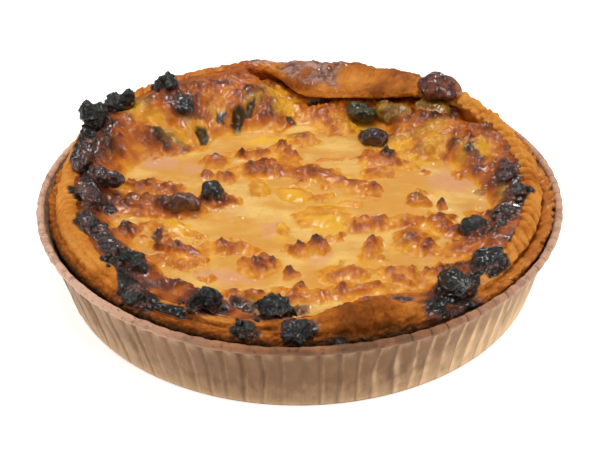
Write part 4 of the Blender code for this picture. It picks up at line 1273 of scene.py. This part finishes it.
def apple_mesh(node, look, crag, swell, seed, ground):
    """One piece of apple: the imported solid, subdivided and rounded, with crags or wrinkles."""
    bm = in_millimetres([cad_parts[node].data])
    bmesh.ops.remove_doubles(bm, verts=bm.verts, dist=0.01)
    for level in range(APPLE_ROUNDS):
        bmesh.ops.subdivide_edges(bm, edges=bm.edges, cuts=1, smooth=0.9, use_grid_fill=True)
        for _ in range(3 if level < 2 else 1):
            bmesh.ops.smooth_vert(bm, verts=bm.verts, factor=0.5, use_axis_x=True, use_axis_y=True,
                                  use_axis_z=True)
    mesh = mesh_of(node + "_baked", bm)
    low, high = node_box(node)
    size = float(np.cbrt(np.prod(high - low)))
    middle = (low + high) / 2
    points, normals = coordinates(mesh), coordinates(mesh, "normal")
    x, y, z = points.T + 17.0 * seed
    broad = noise_at(x, y, z, 0.75 * size, 40)
    middling = noise_at(x, y, z, 0.34 * size, 41, 2)
    ragged = 1.0 if look == "charred" else 0.45
    crests = crests_at(x, y, z, 0.42 * size, 42, 5)
    depth = 0.30 * broad + 0.16 * middling + 0.55 * ragged * (crests - 0.4)
    warp = np.stack([noise_at(x, y, z, 0.5 * size, 43 + axis, 2) for axis in range(3)], axis=-1)
    points = points + normals * (size * crag * (depth - 0.1) + swell - 0.2)[:, None]
    points = points + warp * size * crag * 0.38
    upper = np.clip((points[:, 2] - middle[2]) / (high[2] - low[2]) * 2, 0, 1.5)
    spikes = np.clip(noise_at(x, y, 0 * z, 0.35 * size, 47), 0, 1) ** 2
    points[:, 2] += crag * size * 0.5 * ragged * spikes * upper - SINK
    set_coordinates(mesh, points)
    above = points[:, 2] - [ground_at(ground, across, up) or 0.0 for across, up, _ in points]
    foot = 1 - smooth_step(*((0.5, 5.5) if look == "plum" else (0.1, 1.5)), above)
    paint(mesh, crag=(depth - np.percentile(depth, 5)) / np.ptp(depth) * 1.2, foot=foot)
    return mesh


def crumb_mesh(tree):
    """Loose charred flakes and crumbs round the scorched places."""
    rng = np.random.default_rng(8)
    spots = list(LOOSE_CRUMBS)
    for node, (look, *_) in APPLE_LOOKS.items():
        low, high = node_box(node)
        middle = (low + high) / 2
        for _ in range(CRUMBS_EACH if look == "charred" else 0):
            turn, reach = rng.uniform(0, math.tau), rng.uniform(0.8, 1.3)
            half = (high - low) / 2 * reach
            spots.append((middle[0] + half[0] * math.cos(turn), middle[1] + half[1] * math.sin(turn),
                          rng.uniform(0.25, 0.75)))
    bm = bmesh.new()
    for x, y, size in spots:
        ground = ground_at(tree, x, y)
        if ground is None or ground < RIM_HEIGHT - 2:
            continue
        turn = Matrix.Rotation(rng.uniform(0, math.tau), 4, "Z")
        turn = turn @ Matrix.Rotation(rng.uniform(-0.7, 0.7), 4, "X")
        shape = Matrix.Diagonal((size * rng.uniform(0.8, 1.5), size, size * rng.uniform(0.5, 0.9), 1))
        place = Matrix.Translation((x, y, ground + 0.15 * size))
        bmesh.ops.create_icosphere(bm, subdivisions=3, radius=1.0, matrix=place @ turn @ shape)
    mesh = mesh_of("charred_crumbs", bm)
    points, normals = coordinates(mesh), coordinates(mesh, "normal")
    depth = crests_at(*points.T, 0.8, 51) - 0.4
    points = points + normals * (0.6 * depth + 0.25 * noise_at(*points.T, 0.9, 55, 2))[:, None]
    set_coordinates(mesh, points)
    paint(mesh, crag=depth + 0.4, foot=0 * depth)
    return mesh


# ---------------------------------------------------------------- settings


LENGTH = dict(unit="LENGTH", subtype="DISTANCE", precision=5)
COLOUR = dict(subtype="COLOR", min=0, max=1)


class TartletCaseSettings(bpy.types.PropertyGroup):
    """Sizes and colours of the paper case."""

    pleats: IntProperty(name="Pleats", description="Number of pleats round the case", default=96,
                        min=24, max=160)
    pleat_depth: FloatProperty(name="Pleat depth", description="Depth of a pleat's step",
                               default=0.00045, **LENGTH)
    colour: FloatVectorProperty(name="Paper", description="Colour of the baked paper",
                                default=PAPER_BROWN, **COLOUR)
    dark_colour: FloatVectorProperty(name="Stained paper", description="Colour where fat has soaked in",
                                     default=PAPER_STAIN, **COLOUR)


class TartletPastrySettings(bpy.types.PropertyGroup):
    """Sizes and colours of the pastry edge."""

    ribs: IntProperty(name="Ribs", description="Number of diagonal ribs round the edge", default=84,
                      min=20, max=120)
    rib_depth: FloatProperty(name="Rib depth", description="Depth of the ribs", default=0.0016, **LENGTH)
    colour: FloatVectorProperty(name="Pastry", description="Colour of the baked pastry",
                                default=PASTRY_GOLD, **COLOUR)


class TartletFillingSettings(bpy.types.PropertyGroup):
    """Sizes and colours of the filling."""

    lump_depth: FloatProperty(name="Lump depth", description="Height of the curds", default=0.0009,
                              **LENGTH)
    colour: FloatVectorProperty(name="Golden filling", description="Colour of the lightly baked filling",
                                default=GOLD, **COLOUR)
    pool_colour: FloatVectorProperty(name="Pools", description="Colour of the still pools",
                                     default=CREAM, **COLOUR)


class TartletStageSettings(bpy.types.PropertyGroup):
    """Floor and lights."""

    floor_colour: FloatVectorProperty(name="Floor", description="Colour of the floor",
                                      default=FLOOR_GREY, **COLOUR)
    floor_glow: FloatProperty(name="Floor glow", description="Light that comes up through the floor",
                              default=0.66)
    key_power: FloatProperty(name="Key light", description="Power of the large light overhead", default=1.5,
                             unit="POWER")
    sky_front: FloatProperty(name="Light from the front", description="Strength of the surroundings ahead",
                             default=0.2)
    sky_behind: FloatProperty(name="Light from behind", description="Strength of the surroundings behind",
                              default=0.22)


# ---------------------------------------------------------------- operators


class TARTLET_OT_make_stage(bpy.types.Operator):
    """Adds the pale floor, the soft lights and the camera"""

    bl_idname = "tartlet.make_stage"
    bl_label = "Make Stage"

    def execute(self, context):
        settings = context.scene.tartlet_stage
        bm = bmesh.new()
        bmesh.ops.create_grid(bm, x_segments=1, y_segments=1, size=4.0)
        mesh = mesh_of("floor", bm)
        finish = Finish("pale_floor", Base_Color=(*settings.floor_colour, 1.0), Roughness=0.6,
                        Emission_Color=WHITE, Emission_Strength=settings.floor_glow)
        mesh.materials.append(finish.material)
        floor = bpy.data.objects.new("floor", mesh)
        context.scene.collection.objects.link(floor)
        world = bpy.data.worlds.new("surroundings")
        world.use_nodes = True
        sky = world.node_tree.nodes["Background"]
        sky.inputs["Color"].default_value = WHITE
        links, nodes = world.node_tree.links, world.node_tree.nodes
        split, fade = nodes.new("ShaderNodeSeparateXYZ"), nodes.new("ShaderNodeMapRange")
        links.new(nodes.new("ShaderNodeTexCoord").outputs["Generated"], split.inputs[0])
        links.new(split.outputs["Y"], fade.inputs["Value"])
        for key, value in {"From Min": -0.8, "From Max": 0.6, "To Min": settings.sky_front,
                           "To Max": settings.sky_behind}.items():
            fade.inputs[key].default_value = value
        links.new(fade.outputs[0], sky.inputs["Strength"])
        context.scene.world = world
        for name, place, size, power in LIGHTS:
            lamp = bpy.data.lights.new(name, "AREA")
            lamp.shape = "DISK"
            lamp.size = size
            lamp.energy = settings.key_power * power
            light = bpy.data.objects.new(name, lamp)
            light.location = place
            aim = Vector((0, 0, 0.01)) - Vector(place)
            light.rotation_euler = aim.to_track_quat("-Z", "Y").to_euler()
            context.scene.collection.objects.link(light)
        lens = bpy.data.cameras.new("camera")
        lens.sensor_fit = "HORIZONTAL"
        lens.sensor_width = SENSOR
        lens.lens = LENS
        lens.clip_start = 0.01
        camera = bpy.data.objects.new("camera", lens)
        tilt = Matrix.Rotation(math.radians(90 - CAMERA_DROP), 4, "X")
        roll = Matrix.Rotation(math.radians(CAMERA_ROLL), 4, "Z")
        camera.matrix_world = Matrix.Translation(Vector(CAMERA_PLACE) * MM) @ tilt @ roll
        context.scene.collection.objects.link(camera)
        context.scene.camera = camera
        context.scene.view_settings.view_transform = "Standard"
        return {"FINISHED"}


class TARTLET_OT_make_case(bpy.types.Operator):
    """Makes the pleated paper case with its rolled rim"""

    bl_idname = "tartlet.make_case"
    bl_label = "Make Paper Case"

    def execute(self, context):
        settings = context.scene.tartlet_case
        finished("case_paper", case_mesh(settings), paper_finish(settings), ["paper_case"])
        return {"FINISHED"}


class TARTLET_OT_make_pastry(bpy.types.Operator):
    """Makes the pastry shell with its ribbed edge"""

    bl_idname = "tartlet.make_pastry"
    bl_label = "Make Pastry"

    def execute(self, context):
        settings = context.scene.tartlet_pastry
        finished("pastry_edge", pastry_mesh(settings), pastry_finish(settings),
                 ["pastry_crust"])
        return {"FINISHED"}


class TARTLET_OT_make_filling(bpy.types.Operator):
    """Makes the lumpy, browned filling"""

    bl_idname = "tartlet.make_filling"
    bl_label = "Make Filling"

    def execute(self, context):
        settings = context.scene.tartlet_filling
        finished("custard_filling", filling_mesh(settings), filling_finish(settings),
                 ["filling"])
        return {"FINISHED"}


class TARTLET_OT_make_apple(bpy.types.Operator):
    """Makes every scorched or soft piece of apple"""

    bl_idname = "tartlet.make_apple"
    bl_label = "Make Apple Pieces"

    def execute(self, context):
        finishes = {look: apple_finish(look) for look in APPLE_FINISHES}
        under = ("custard_filling", "pastry_edge", "case_paper")
        ground = tree_of([bpy.data.objects[name].data for name in under])
        for seed, (node, (look, crag, swell)) in enumerate(APPLE_LOOKS.items()):
            mesh = apple_mesh(node, look, crag, swell, seed, ground)
            finished(node + "_baked", mesh, finishes[look], [node])
        finished("charred_crumbs", crumb_mesh(ground), finishes["charred"], [])
        return {"FINISHED"}


class TARTLET_PT_panel(bpy.types.Panel):
    """Lists the tartlet's pieces and their settings"""

    bl_label = "Apple Tartlet"
    bl_idname = "TARTLET_PT_panel"
    bl_space_type = "VIEW_3D"
    bl_region_type = "UI"
    bl_category = "Tartlet"

    def draw(self, context):
        for operator, settings, names in PANEL_ROWS:
            box = self.layout.box()
            box.operator(operator)
            for name in names:
                box.prop(getattr(context.scene, settings), name)


PANEL_ROWS = (
    ("tartlet.make_stage", "tartlet_stage",
     ("floor_colour", "floor_glow", "key_power", "sky_front", "sky_behind")),
    ("tartlet.make_case", "tartlet_case", ("pleats", "pleat_depth", "colour", "dark_colour")),
    ("tartlet.make_pastry", "tartlet_pastry", ("ribs", "rib_depth", "colour")),
    ("tartlet.make_filling", "tartlet_filling", ("lump_depth", "colour", "pool_colour")),
    ("tartlet.make_apple", "tartlet_filling", ()),
)
SETTINGS = {
    "tartlet_stage": TartletStageSettings,
    "tartlet_case": TartletCaseSettings,
    "tartlet_pastry": TartletPastrySettings,
    "tartlet_filling": TartletFillingSettings,
}
OPERATORS = (
    TARTLET_OT_make_stage,
    TARTLET_OT_make_case,
    TARTLET_OT_make_pastry,
    TARTLET_OT_make_filling,
    TARTLET_OT_make_apple,
)


def register():
    for settings in SETTINGS.values():
        bpy.utils.register_class(settings)
    for name, settings in SETTINGS.items():
        setattr(bpy.types.Scene, name, PointerProperty(type=settings))
    for operator in OPERATORS:
        bpy.utils.register_class(operator)
    bpy.utils.register_class(TARTLET_PT_panel)


def unregister():
    bpy.utils.unregister_class(TARTLET_PT_panel)
    for operator in reversed(OPERATORS):
        bpy.utils.unregister_class(operator)
    for name in SETTINGS:
        delattr(bpy.types.Scene, name)
    for settings in reversed(SETTINGS.values()):
        bpy.utils.unregister_class(settings)


def main():
    register()
    bpy.ops.tartlet.make_stage()
    bpy.ops.tartlet.make_case()
    bpy.ops.tartlet.make_pastry()
    bpy.ops.tartlet.make_filling()
    bpy.ops.tartlet.make_apple()
    bpy.context.view_layer.update()


if __name__ == "__main__":
    main()
